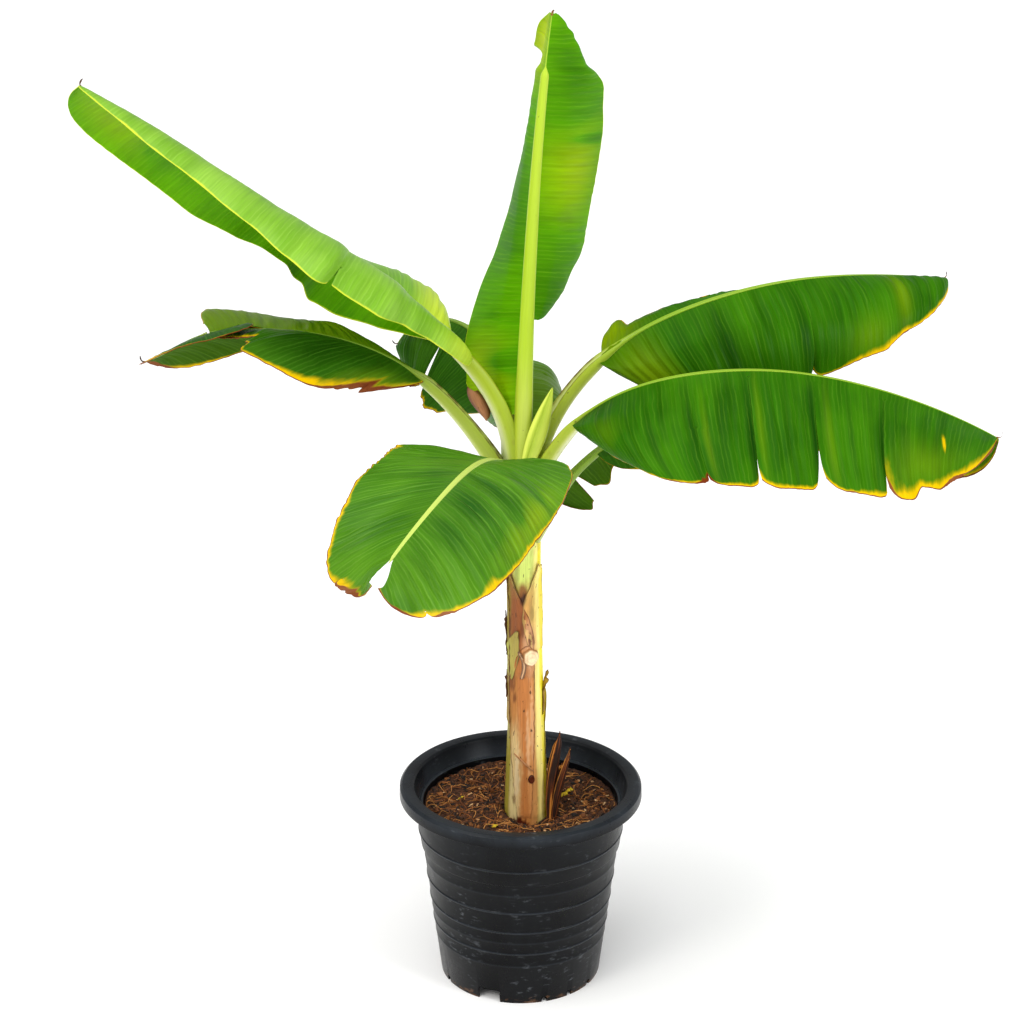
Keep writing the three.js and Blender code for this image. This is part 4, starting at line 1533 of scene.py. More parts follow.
        piece = make_piece(f"leaf_{name}_{word}", bm, materials, [f"{name}_blade_{word}"])
        thicken(piece, self.THICKNESS, second_finish=True)
        return piece


@dataclass(frozen=True)
class RibColours:
    """A stalk's colours: its back, the pale bloom with a painted highlight down its middle, its lips and the
    dry hem along them.
    """

    bloom_and_highlight: str
    back: str
    lip: str
    hem: str
    hem_show: float
    blade_rib: str


RIB_COLOURS = {
    Age.YOUNG: RibColours("#e4eab4", "#acbe30", "#98ac28", "#6e4a14", 0.8, "#acc82e"),
    Age.FRESH: RibColours("#e2e6b8", "#a8b83a", "#94aa28", "#6e4418", 0.8, "#bccf60"),
    Age.MATURE: RibColours("#e6eabc", "#b4c038", "#98aa2c", "#562e10", 0.9, "#86aa28"),
    Age.OLD: RibColours("#c8d094", "#9eae3e", "#889a2c", "#4a240e", 0.95, "#7c9c30"),
}


class Rib:
    """A leaf's stalk and midrib: a grooved stalk with thin lips, and a low ridge along the blade."""

    SIDES = 36
    STEP = 4.0
    LIP_AT = 0.82
    BRUISE = "#8f9428"

    def __init__(self, midrib: Midrib) -> None:
        """Notes the line that the rib follows."""
        self.midrib = midrib
        self.colours = RIB_COLOURS[midrib.plan.age]

    def section(self, share: float, turn: float) -> tuple[float, float]:
        """The section's outline at a share of the whole line.

        Args:
            share: The share of the whole line.
            turn: The share of the way round, from the left side over the top.

        Returns:
            Millimetres across and up.
        """
        start = self.midrib.blade_start
        blade_share = (share - start) / (1 - start)
        on_blade = ease(-0.05, 0.14, blade_share)
        half = self.midrib.half_width(share) * lerp(1.0, self.midrib.plan.slim, on_blade)
        angle = 2 * math.pi * turn
        x, y = math.cos(angle), math.sin(angle)
        x *= 1 - 0.25 * on_blade * ease(0.0, 0.25, y)
        if y <= 0:
            return x * half, y * half * 0.9
        lip = run_at(((-1.0, 0.6), (-0.05, 0.55), (0.1, 0.3), (1.0, 0.25)), blade_share)
        groove = run_at(((-1.0, 1.1), (-0.05, 0.8), (0.12, 0.25), (0.5, 0.1), (1.0, 0.0)), blade_share)
        a = abs(x)
        if a >= self.LIP_AT:
            past = (a - self.LIP_AT) / (1 - self.LIP_AT)
            return x * half, half * lip * math.sqrt(max(1 - past**2, 0.0))
        return x * half, half * (lip - groove * (1 - (a / self.LIP_AT) ** 2) ** 1.2)

    def spot(self, share: float, turn: float) -> Vector:
        """The rib's surface.

        Args:
            share: The share of the whole line.
            turn: The share of the way round.

        Returns:
            The point there.
        """
        bearing = self.midrib.at(share)
        across, up = self.section(share, turn)
        swell = 1 + 0.05 * grain(share * 6, math.cos(2 * math.pi * turn), self.midrib.plan.seed)
        end = math.sqrt(max(1 - ease(0.985, 1.0, share) ** 2, 0.04))
        return bearing.place + (bearing.across * across + bearing.up * up) * swell * end

    def tint(self, share: float, turn: float) -> Colour:
        """The rib's colour.

        Args:
            share: The share of the whole line.
            turn: The share of the way round.

        Returns:
            The colour there.
        """
        colours = self.colours
        start = self.midrib.blade_start
        on_blade = ease(start * 0.8, start + 0.12, share)
        angle = 2 * math.pi * turn
        x, y = math.cos(angle), math.sin(angle)
        seed = self.midrib.plan.seed
        # pale bloom and a painted highlight down the middle of the stalk's back and groove
        middle = 1 - ease(0.25, 0.95, abs(x + 0.15 * grain(share * 4, 0.0, seed)))
        bloom_and_highlight = self.midrib.plan.bloom_and_highlight_share * clamp(middle * (0.85 + 0.5 * grain(share * 6, x * 1.5, seed + 5)))
        colour = mixed(linear_colour(colours.back), linear_colour(colours.bloom_and_highlight), bloom_and_highlight)
        near_lip = ease(0.72, 0.95, abs(x)) * (0.9 if y > -0.6 else 0.4)
        colour = mixed(colour, linear_colour(colours.lip), near_lip)
        colour = mixed(colour, linear_colour(colours.blade_rib), on_blade)
        stalk_only = 1 - ease(start * 0.9, start + 0.02, share)
        hem = ease(0.7, 0.75, abs(x)) * (1 - ease(0.87, 0.93, abs(x))) * (1.0 if y > 0 else 0.0)
        broken = clamp(0.6 + 1.6 * grain(share * 45, x, seed + 9))
        colour = mixed(colour, linear_colour(colours.hem), hem * broken * colours.hem_show * stalk_only)
        bruise = ease(0.5, 0.6, grain(share * 70, x * 7, seed + 13)) * 0.4 * stalk_only
        return mixed(colour, linear_colour(self.BRUISE), bruise)

    def build(self, material: bpy.types.Material) -> bpy.types.Object:
        """Builds the stalk and midrib as one closed limb.

        Args:
            material: The stalk's finish.

        Returns:
            The new piece.
        """
        plan = self.midrib.plan
        grid = (round(self.midrib.length / self.STEP), self.SIDES)
        girth, stands_for = 2 * math.pi * plan.girth[1], [f"{plan.name}_rib"]
        return rolled_piece(
            f"stalk_{plan.name}", grid, self.spot, self.tint, girth, material, stands_for
        )


class Foliage:
    """All the leaves, each with a stalk and two blade halves."""

    CURL_TINTS = ("#8a5a2a", "#3a1c0a")
    WITHOUT_CURL = ("lower_left", "front")
    UPPER = {
        Age.YOUNG: BladeFinish(
            "banana_leaf_young_upper", "#7cb02c", "#9ac850", "#5c9418", "#ccdc40", "#a8d060", 0.4,
            vein_show=0.15, sheen=0.25, yellow="#ccd62c",
        ),
        # painted light: the mature upper colours made lighter for the front and the back leaf
        Age.FRESH: BladeFinish(
            "banana_leaf_mature_lit_upper", "#43780c", "#5e921a", "#1e5205", "#a0b80c", "#84b048", 0.38, sheen=0.14
        ),
        # painted shade: the mature upper colours made darker for the hanging leaves
        Age.MATURE: BladeFinish(
            "banana_leaf_mature_upper", "#2b6402", "#407c04", "#103a02", "#849c04", "#5c8420", 0.4
        ),
        Age.OLD: BladeFinish(
            "banana_leaf_old_upper", "#2c5c0a", "#487818", "#143a04", "#74920c", "#5c8c2c", 0.4
        ),
    }
    UNDER = {
        Age.YOUNG: BladeFinish(
            "banana_leaf_young_under", "#529600", "#66ac04", "#306c00", "#b0c404", "#88b828", 0.5,
            vein_show=0.15, yellow="#ccd62c",
        ),
        Age.FRESH: BladeFinish(
            "banana_leaf_mature_lit_under", "#507e08", "#6a9418", "#2c560a", "#90a810", "#7ca038", 0.55
        ),
        Age.MATURE: BladeFinish(
            "banana_leaf_mature_under", "#4c7804", "#628e0c", "#2c5806", "#98ac08", "#7ca028", 0.55
        ),
        Age.OLD: BladeFinish(
            "banana_leaf_old_under", "#3a5e06", "#4c7410", "#204404", "#7a9010", "#608428", 0.55
        ),
    }
    STALK = TintedFinish(
        "banana_stalk_waxy", 0.4, fibre_mm=3.0, fibre_depth=0.07, relief=0.2, mark="#3f3410", mark_mm=6.0,
        mark_share=0.05,
    )

    def tips(self, midribs: Sequence[Midrib], material: bpy.types.Material) -> bpy.types.Object:
        """Builds the short dry curl that each leaf ends in.

        Args:
            midribs: The leaves' midribs.
            material: The dry finish.

        Returns:
            The curls as one piece.
        """
        bm = bmesh.new()
        tan, dark = (linear_colour(tint) for tint in self.CURL_TINTS)
        for midrib in midribs:
            end, seed = midrib.at(1.0), midrib.plan.seed

            def spot(s: float, t: float) -> Vector:
                """A thread that hooks over and thins out.

                Args:
                    s: The share along it.
                    t: The share across or round it.

                Returns:
                    The point, in millimetres.
                """
                bend = 2.4 * s
                ahead = end.along * math.sin(bend) / 2.4 + end.up * (1 - math.cos(bend)) / 2.4
                size = 2.0 * (1 - 0.75 * s) * (1 + 0.3 * grain(s * 5, t * 3, seed))
                angle = 2 * math.pi * t
                ring = end.across * (math.cos(angle) * size) + end.up * (math.sin(angle) * size * 0.6)
                return end.place - end.along * 3 + ahead * 15 + ring

            close_tube(bm, lay_surface(bm, 10, 8, spot, lambda s, t: mixed(tan, dark, s), 6))
        face_out(bm)
        return make_piece("leaf_tip_curls", bm, [material])

    def build(self, dry: bpy.types.Material) -> None:
        """Builds every leaf.

        Args:
            dry: The finish of dry shreds.
        """
        upper = {age: finish.material() for age, finish in self.UPPER.items()}
        under = {age: finish.material() for age, finish in self.UNDER.items()}
        stalk = self.STALK.material()
        midribs = [Midrib(plan) for plan in LEAVES]
        for midrib in midribs:
            plan = midrib.plan
            Rib(midrib).build(stalk)
            sides = (upper[plan.age], under[plan.age])
            BladeHalf(midrib, plan.left, 1).build(sides)
            BladeHalf(midrib, plan.right, -1).build(sides)
        self.tips([midrib for midrib in midribs if midrib.plan.name not in self.WITHOUT_CURL], dry)


# ---------------------------------------------------------------- stem


@dataclass(frozen=True)
class Sheath:
    """A dry or living sheath, or a loose flake, that wraps part of the stem.

    left and right are the compass turns of its two edges, in degrees, at its foot, middle and top, with -90
    toward the front. drop is how far its top falls away from its peak at either edge, and lift how far its
    top stands off the stem. show is how strongly its own colour covers the stem's.
    """

    name: str
    foot: float
    top: float
    left: tuple[float, float, float]
    right: tuple[float, float, float]
    tint: str
    show: float = 0.4
    drop: tuple[float, float] = (0.0, 0.0)
    peak: float = 0.5
    stand_off: float = 0.8
    lift: float = 1.5
    edge_curl: float = 1.0
    hem: str = "#4a2210"
    hem_mm: float = 1.6


@dataclass(frozen=True)
class Blotch:
    """A dark or bright patch on the stem, at a height and a compass turn, with its half sizes."""

    z: float
    turn: float
    tall: float
    wide: float
    tint: str
    strength: float = 0.9


@dataclass(frozen=True)
class Boss:
    """A low round lump on the stem, such as the stump of a cut leaf."""

    name: str
    z: float
    turn: float
    wide: float
    tall: float
    deep: float
    face: str
    side: str


@dataclass
class Stem:
    """The pseudostem: leaf sheaths rolled tightly round each other, the outer ones old and dry."""

    foot: tuple[float, float] = (10, 16)
    head: tuple[float, float] = (4, 2)
    bottom: float = 237
    soil_top: float = 277
    top: float = 812
    foot_radius: float = 36
    waist_radius: float = 25.5
    head_radius: float = 29
    flare_height: float = 150
    sides: int = 120
    step: float = 3.0
    seed: float = 31.0
    ground: str = "#8c6632"
    strip_heights: tuple[float, float] = (379, 352)
    strip_turns: tuple[float, float] = (-128, -72)
    strip_tint: str = "#a8744a"
    flake_ends: tuple[tuple[float, float, float], ...] = ((-72, 10, 968), (-52, 4, 922))
    flake_width: float = 30
    flake_tints: tuple[str, str] = ("#b9805a", "#6a3a1e")
    strokes: tuple[Blotch, ...] = (
        Blotch(500, 110, 400, 60, "#7c5428", 0.7),
        Blotch(480, 35, 400, 40, "#a8a030"),
        Blotch(480, -14, 400, 42, "#fcec20"),
        # painted highlight: a pale band down the front right of the stem, between its yellow side and its tan
        # middle
        Blotch(480, -46, 400, 15, "#ffec90"),
        Blotch(440, -92, 300, 34, "#c47c40"),
        Blotch(370, -70, 140, 16, "#dc9c5c", 0.8),
        Blotch(320, -128, 130, 24, "#e6d294"),
        Blotch(480, -132, 60, 18, "#b87c3c"),
        Blotch(330, -168, 200, 26, "#a09434"),
        Blotch(600, -168, 110, 26, "#7c9024"),
        Blotch(600, -118, 66, 32, "#84481f"),
        Blotch(560, -74, 50, 24, "#dcaa7c"),
        Blotch(705, -96, 52, 46, "#c6da6c"),
        Blotch(654, -96, 16, 16, "#7a4418"),
        Blotch(770, -95, 62, 90, "#ccdc70"),
        Blotch(735, -112, 26, 20, "#dcea9c", 0.8),
    )
    blotches: tuple[Blotch, ...] = (
        Blotch(642, -94, 10, 15, "#2c1206"),
        Blotch(256, -108, 14, 24, "#4a1808", 1.2),
        Blotch(300, -128, 9, 7, "#6a3a18", 0.7),
        Blotch(505, -140, 26, 16, "#3d1c0a", 0.8),
        Blotch(600, -96, 24, 9, "#5a2c12", 0.7),
        Blotch(618, -66, 14, 7, "#2c1408", 0.8),
        Blotch(575, -72, 12, 9, "#2c1408", 0.8),
        Blotch(585, -150, 26, 6, "#1e1006", 0.8),
        Blotch(475, -128, 10, 7, "#3a1808", 0.8),
        Blotch(400, -84, 50, 7, "#f0c898", 0.6),
        Blotch(430, -70, 60, 6, "#f0c090", 0.6),
        Blotch(690, -118, 30, 9, "#4a2410", 0.4),
        Blotch(345, -118, 40, 8, "#f0e4bc", 0.5),
    )
    bosses: tuple[Boss, ...] = (
        Boss("stem_cut_stub", 546, -72, 11.5, 13.0, 7.5, "#f8dcb0", "#a87448"),
        Boss("stem_bud_scar", 337, -76, 4.5, 6.5, 3.0, "#5a2410", "#2c1006"),
    )
    sheaths: tuple[Sheath, ...] = (
        Sheath(
            "sheath_lower", 262, 566, (-112, -146, -150), (-80, -62, -58), "#a85f2c", 0.3, (62, 14), 0.72,
            0.9, 2.0,
        ),
        Sheath(
            "sheath_left", 500, 590, (-180, -172, -150), (-138, -112, -108), "#b8b458", 0.6, (30, 2), 0.85,
            2.0, 2.5,
        ),
        Sheath(
            "sheath_mid", 505, 680, (-152, -150, -160), (-62, -66, -140), "#8a4c2a", 0.3, (22, 0), 0.6,
            1.6, 2.0,
        ),
        Sheath(
            "sheath_right", 552, 698, (-78, -97, -44), (-20, -10, -22), "#ecc870", 0.35, (0, 10), 0.4,
            1.6, 3.0,
        ),
        Sheath(
            "sheath_back", 300, 660, (50, 45, 60), (150, 150, 140), "#8a5228", 0.6, (60, 80), 0.5, 1.4, 3.0
        ),
        Sheath("sheath_side", 290, 490, (-8, -4, 5), (48, 52, 45), "#f4e060", 0.6, (40, 30), 0.3, 1.0, 5.0),
        Sheath(
            "sheath_far", 420, 740, (155, 155, 165), (215, 212, 200), "#98702c", 0.6, (60, 70), 0.5, 2.0, 4.0
        ),
        Sheath(
            "flake_left_high", 540, 612, (-190, -188, -186), (-166, -170, -176), "#3a2410", 0.9, (14, 20),
            0.4, 2.6, 3.0, 3.0,
        ),
        Sheath(
            "flake_left_low", 462, 512, (-190, -188, -186), (-160, -166, -172), "#4a2c14", 0.9, (12, 20),
            0.4, 2.0, 2.5, 3.0,
        ),
        Sheath(
            "flake_right", 440, 512, (-24, -16, -10), (10, 10, 4), "#8a5828", 0.8, (20, 8), 0.6, 1.6, 7.0, 2.0
        ),
        Sheath(
            "hook_strip", 508, 556, (-106, -98, -112), (-100, -88, -106), "#d8b088", 0.9, (3, 3), 0.5,
            3.0, 2.5, 1.5,
        ),
    )

    def __post_init__(self) -> None:
        """Turns every hex colour of the stem into linear light once."""
        names = {self.ground} | {blotch.tint for blotch in (*self.strokes, *self.blotches)}
        self.palette = {name: linear_colour(name) for name in names}

    def centre(self, z: float) -> Vector:
        """The stem's middle at a height."""
        share = (z - self.bottom) / (self.top - self.bottom)
        return Vector((lerp(self.foot[0], self.head[0], share), lerp(self.foot[1], self.head[1], share), z))

    def radius(self, z: float) -> float:
        """The stem's radius.

        Args:
            z: The height.

        Returns:
            The radius there.
        """
        flare = math.exp(-max(z - self.soil_top, 0) / self.flare_height)
        share = (z - self.bottom) / (self.top - self.bottom)
        swell = ease(0.75, 1.0, share) * (self.head_radius - self.waist_radius)
        return self.waist_radius + (self.foot_radius - self.waist_radius) * flare + swell

    def skin(self, z: float, turn: float, proud: float = 0.0) -> Vector:
        """A point on the stem's skin.

        Args:
            z: The height.
            turn: The compass turn, in degrees.
            proud: How far the point stands off the skin.

        Returns:
            The point, in millimetres.
        """
        angle = math.radians(turn)
        uneven = 1.2 * grain(math.cos(angle) * 1.5, math.sin(angle) * 1.5 + z / 160, self.seed)
        fold = 0.55 * math.sin(angle * 7 + z / 70) + 0.25 * math.sin(angle * 17 - z / 45)
        reach = self.radius(z) - 1.5 + uneven + fold + proud
        return self.centre(z) + Vector((math.cos(angle), math.sin(angle), 0)) * reach

    def colour(self, z: float, turn: float) -> Colour:
        """The stem's colour.

        Args:
            z: The height.
            turn: The compass turn, in degrees.

        Returns:
            The colour there.
        """
        wander = 7 * grain(z / 90, turn / 20, self.seed)
        rough = grain(z / 7, turn / 6, self.seed + 2)
        colour = self.palette[self.ground]
        for i, stroke in enumerate((*self.strokes, *self.blotches)):
            broad = i < len(self.strokes)
            a = (z - stroke.z) / stroke.tall
            b = ((turn + broad * wander - stroke.turn + 180) % 360 - 180) / stroke.wide
            ragged = (0.2 if broad else 0.6) * rough
            amount = ease(0.15, 0.75, math.exp(-a * a - b * b) + ragged * math.exp(-0.4 * (a * a + b * b)))
            colour = mixed(colour, self.palette[stroke.tint], clamp(amount * stroke.strength))
        return colour

    def core(self, material: bpy.types.Material) -> bpy.types.Object:
        """Builds the stem's living core.

        Args:
            material: Its finish.

        Returns:
            The new piece.
        """

        def place(share: float, turn: float) -> tuple[float, float]:
            """The height and compass turn at shares up and round."""
            return lerp(self.bottom, self.top, share), 360 * turn - 225

        def spot(share: float, turn: float) -> Vector:
            """The skin at shares up and round, drawn in a little at the head."""
            return self.skin(*place(share, turn), -6 * ease(0.985, 1.0, share))

        def tint(share: float, turn: float) -> Colour:
            """The stem's colour at shares up and round."""
            return self.colour(*place(share, turn))

        grid = (round((self.top - self.bottom) / self.step), self.sides)
        return rolled_piece("stem_core", grid, spot, tint, 190, material, ["pseudostem"])

    def wrap(self, sheath: Sheath, material: bpy.types.Material) -> bpy.types.Object:
        """Builds one sheath that wraps part of the stem.

        Args:
            sheath: The sheath's plan.
            material: Its finish.

        Returns:
            The new piece.
        """
        bm = bmesh.new()
        seed = self.seed + len(sheath.name) + sheath.top / 50
        own, hem_colour = linear_colour(sheath.tint), linear_colour(sheath.hem)
        length = sheath.top - sheath.foot

        def top_at(t: float) -> float:
            """The sheath's top at a share across, uneven and torn.

            Args:
                t: The share across or round it.

            Returns:
                The height.
            """
            first = t < sheath.peak
            fall = (sheath.peak - t) / (sheath.peak if first else sheath.peak - 1)
            drop = sheath.drop[0] if first else sheath.drop[1]
            torn = 3.0 * grain(t * 9, 1.0, seed) + 1.6 * grain(t * 25, 2.0, seed)
            return sheath.top - drop * fall**1.7 + torn

        def place(s: float, t: float) -> tuple[float, float]:
            """The height and compass turn at shares up and across.

            Args:
                s: The share along it.
                t: The share across or round it.

            Returns:
                The height and the compass turn.
            """
            z = lerp(sheath.foot, top_at(t), s)
            rise = clamp((z - sheath.foot) / length)
            left, right = base_middle_tip(sheath.left, rise), base_middle_tip(sheath.right, rise)
            ragged = 3.2 * grain(s * length / 14, 3.0 if t < 0.5 else 4.0, seed) * abs(2 * t - 1) ** 4
            return z, lerp(left, right, t) + ragged

        def spot(s: float, t: float) -> Vector:
            """The sheath's outer side at shares up and across.

            Args:
                s: The share along it.
                t: The share across or round it.

            Returns:
                The point, in millimetres.
            """
            z, turn = place(s, t)
            loose = sheath.lift * ease(0.75, 1.0, s) * (0.5 + 2.5 * grain(t * 4, 5.0, seed) ** 2)
            rolled = ease(0.85, 1.0, abs(2 * t - 1)) * (0.6 + grain(s * length / 20, t, seed))
            curl = sheath.edge_curl * rolled
            ripple = 0.35 * grain(s * length / 9, t * 5, seed)
            tucked = -2.5 * (1 - ease(0.0, 0.04, s))
            return self.skin(z, turn, sheath.stand_off + loose + curl + ripple + tucked)

        def tint(s: float, t: float) -> Colour:
            """The stem's colour under the sheath's own, with a dry dark hem at its edges and top.

            Args:
                s: The share along it.
                t: The share across or round it.

            Returns:
                The colour there.
            """
            z, turn = place(s, t)
            colour = mixed(self.colour(z, turn), own, sheath.show)
            wide = math.radians(abs(sheath.right[1] - sheath.left[1])) * self.waist_radius
            far = min(t * wide, (1 - t) * wide, (1 - s) * length)
            hem = 1 - ease(0.3, 1.0, far / sheath.hem_mm + 0.5 * grain(s * length / 9, t * 6, seed))
            return mixed(colour, hem_colour, hem * 0.75)

        lay_surface(bm, max(16, round(length / 3)), 36, spot, tint, 60)
        face_out(bm)
        face = max(bm.faces, key=lambda f: f.calc_area())
        middle = face.calc_center_median()
        if face.normal.dot(middle - self.centre(middle.z)) < 0:
            bmesh.ops.reverse_faces(bm, faces=bm.faces)
        sharpen_rims(bm)
        piece = make_piece(sheath.name, bm, [material])
        thicken(piece, 1.1)
        return piece

    def boss(self, boss: Boss, material: bpy.types.Material) -> bpy.types.Object:
        """Builds a low round lump with a rounded rim and a slightly hollow face.

        Args:
            boss: The lump's plan.
            material: Its finish.

        Returns:
            The new piece.
        """
        outward = way_to(0.0, math.radians(boss.turn))
        sideways = Vector((-outward.y, outward.x, 0))
        middle = self.skin(boss.z, boss.turn)
        face, edge = linear_colour(boss.face), linear_colour(boss.side)
        spreads = ((0.0, 1.2), (0.4, 1.05), (0.62, 0.92), (0.8, 0.6), (1.0, 0.02))
        heights = ((0.0, -0.4), (0.4, 0.7), (0.62, 1.0), (0.8, 0.93), (1.0, 0.86))

        def spot(s: float, t: float) -> Vector:
            """The lump's surface from its foot to the middle of its face.

            Args:
                s: The share along it.
                t: The share across or round it.

            Returns:
                The point, in millimetres.
            """
            angle = 2 * math.pi * t
            across = run_at(spreads, s) * (1 + 0.16 * grain(math.cos(angle) * 2, math.sin(angle) * 2, boss.z))
            point = middle + outward * (run_at(heights, s) * boss.deep)
            point += sideways * (math.cos(angle) * boss.wide * across)
            return point + Vector((0, 0, math.sin(angle) * boss.tall * across))

        def tint(s: float, t: float) -> Colour:
            """The face's colour with darker rings, and the side's round it."""
            ring = 0.25 * (0.5 + 0.5 * math.sin(s * 34)) + 0.4 * grain(t * 6, s * 6, boss.z)
            return mixed(mixed(face, edge, clamp(ring)), edge, 1 - ease(0.42, 0.62, s))

        return rolled_piece(boss.name, (26, 40), spot, tint, 80, material)

    def strip(self, material: bpy.types.Material) -> bpy.types.Object:
        """Builds the thin dry strip that lies bowed across the stem's foot.

        Args:
            material: Its finish.

        Returns:
            The new piece.
        """
        tan = linear_colour(self.strip_tint)

        def line(s: float) -> Vector:
            """The strip's middle line."""
            z = lerp(*self.strip_heights, s) + 3 * math.sin(math.pi * s)
            return self.skin(z, lerp(*self.strip_turns, s), 1.5 + 3 * s)

        def spot(s: float, t: float) -> Vector:
            """The strip's surface.

            Args:
                s: The share along it.
                t: The share across or round it.

            Returns:
                The point, in millimetres.
            """
            ahead = (line(min(s + 0.02, 1)) - line(max(s - 0.02, 0))).normalized()
            out = (line(s) - self.centre(line(s).z)).normalized()
            size = 0.5 + 1.1 * math.sin(math.pi * clamp(s, 0.04, 0.96)) ** 0.5
            x, y = math.cos(2 * math.pi * t) * size, math.sin(2 * math.pi * t) * size
            return line(s) + ahead.cross(out) * x + out * (y * 0.7)

        return rolled_piece("stem_dry_strip", (24, 10), spot, lambda s, t: tan, 6, material)

    def crown_flake(self, material: bpy.types.Material) -> bpy.types.Object:
        """Builds the papery brown end of an old sheath between the stalks on the left.

        Args:
            material: Its finish.

        Returns:
            The new piece.
        """
        bm = bmesh.new()
        top, tip = (Vector(end) for end in self.flake_ends)
        pale, dark = (linear_colour(tint) for tint in self.flake_tints)

        def spot(s: float, t: float) -> Vector:
            """A cupped leaf-shaped flake.

            Args:
                s: The share along it.
                t: The share across or round it.

            Returns:
                The point, in millimetres.
            """
            wide = self.flake_width * math.sin(math.pi * clamp(0.12 + 0.86 * s)) ** 0.7
            side = t - 0.5
            cup = 9 * (2 * side) ** 2 + 1.5 * grain(s * 5, t * 4, 47.0)
            return top.lerp(tip, s) + Vector((side * wide, cup, -side * wide * 0.35))

        def tint(s: float, t: float) -> Colour:
            """Pale, and darker toward the sides and the tip."""
            return mixed(pale, dark, clamp(abs(2 * t - 1) ** 3 + 0.3 * s))

        verts = lay_surface(bm, 24, 16, spot, tint, self.flake_width)
        face_out(bm)
        if verts[0].link_faces[0].normal.y > 0:
            bmesh.ops.reverse_faces(bm, faces=bm.faces)
        piece = make_piece("crown_dry_flake", bm, [material])
        thicken(piece, 1.0)
        return piece

    def build(self) -> None:
        """Builds the stem with its sheaths and its small details."""
        living = TintedFinish(
            "banana_stem_living", 0.42, fibre_mm=3.0, fibre_depth=0.2, relief=0.35, mark="#2c1608",
            mark_mm=6.0, mark_share=0.1,
        ).material()
        papery = TintedFinish(
            "banana_sheath_papery", 0.6, fibre_mm=2.4, fibre_depth=0.3, relief=0.6, mark="#2c1408",
            mark_mm=8.0, mark_share=0.11,
        ).material()
        self.core(living)
        for sheath in self.sheaths:
            self.wrap(sheath, papery)
        for boss in self.bosses:
            self.boss(boss, living)
        self.strip(papery)
        self.crown_flake(papery)


# ---------------------------------------------------------------- shoots and dry pieces


@dataclass
class Spear:
    """The next leaf, still rolled to a point, standing in the crown."""

    foot: tuple[float, float, float] = (9, -24, 866)
    length: float = 122
    elevation: float = 72
    azimuth: float = 8
    radius: float = 13.5
    pale: str = "#d3e05a"
    lap: str = "#8fae14"

    def build(self, material: bpy.types.Material) -> bpy.types.Object:
        """Builds the spear as one closed fold with an overlapping edge down its front.

        Args:
            material: Its finish.

        Returns:
            The new piece.
        """
        climb, heading = math.radians(self.elevation), math.radians(self.azimuth)
        along = way_to(climb, heading)
        across = Vector((-math.sin(heading), math.cos(heading), 0))
        up = along.cross(across)
        pale, edge = linear_colour(self.pale), linear_colour(self.lap)

        def spot(s: float, t: float) -> Vector:
            """A flattened roll that tapers to a point.

            Args:
                s: The share along it.
                t: The share across or round it.

            Returns:
                The point, in millimetres.
            """
            belly = self.radius * (0.05 + math.sin(math.pi * (0.22 + 0.78 * s)) ** 0.9)
            angle = 2 * math.pi * (t - 0.2)
            lap = 1 + 0.3 * (t - 0.5)
            place = Vector(self.foot) + along * (self.length * s)
            place += up * (math.cos(angle) * belly * lap) + across * (math.sin(angle) * belly * 0.55 * lap)
            return place

        def tint(s: float, t: float) -> Colour:
            """Pale yellow-green, deeper along the lap.

            Args:
                s: The share along it.
                t: The share across or round it.

            Returns:
                The colour there.
            """
            near = min(t, 1 - t)
            shade = ease(0.0, 0.16, near) * (0.55 + 0.45 * math.sin(2 * math.pi * (t + 0.1)))
            return mixed(edge, pale, clamp(shade + 0.25 + 0.2 * grain(s * 4, t * 5, 51.0)))

        return rolled_piece("spear_leaf", (60, 40), spot, tint, 60, material, ["spear"])


@dataclass(frozen=True)
class Prong:
    """One shred of the dead shoot, from its foot to its tip beside the stem."""

    foot: tuple[float, float, float]
    tip: tuple[float, float, float]
    wide: float
    wrap: float
    facing: float


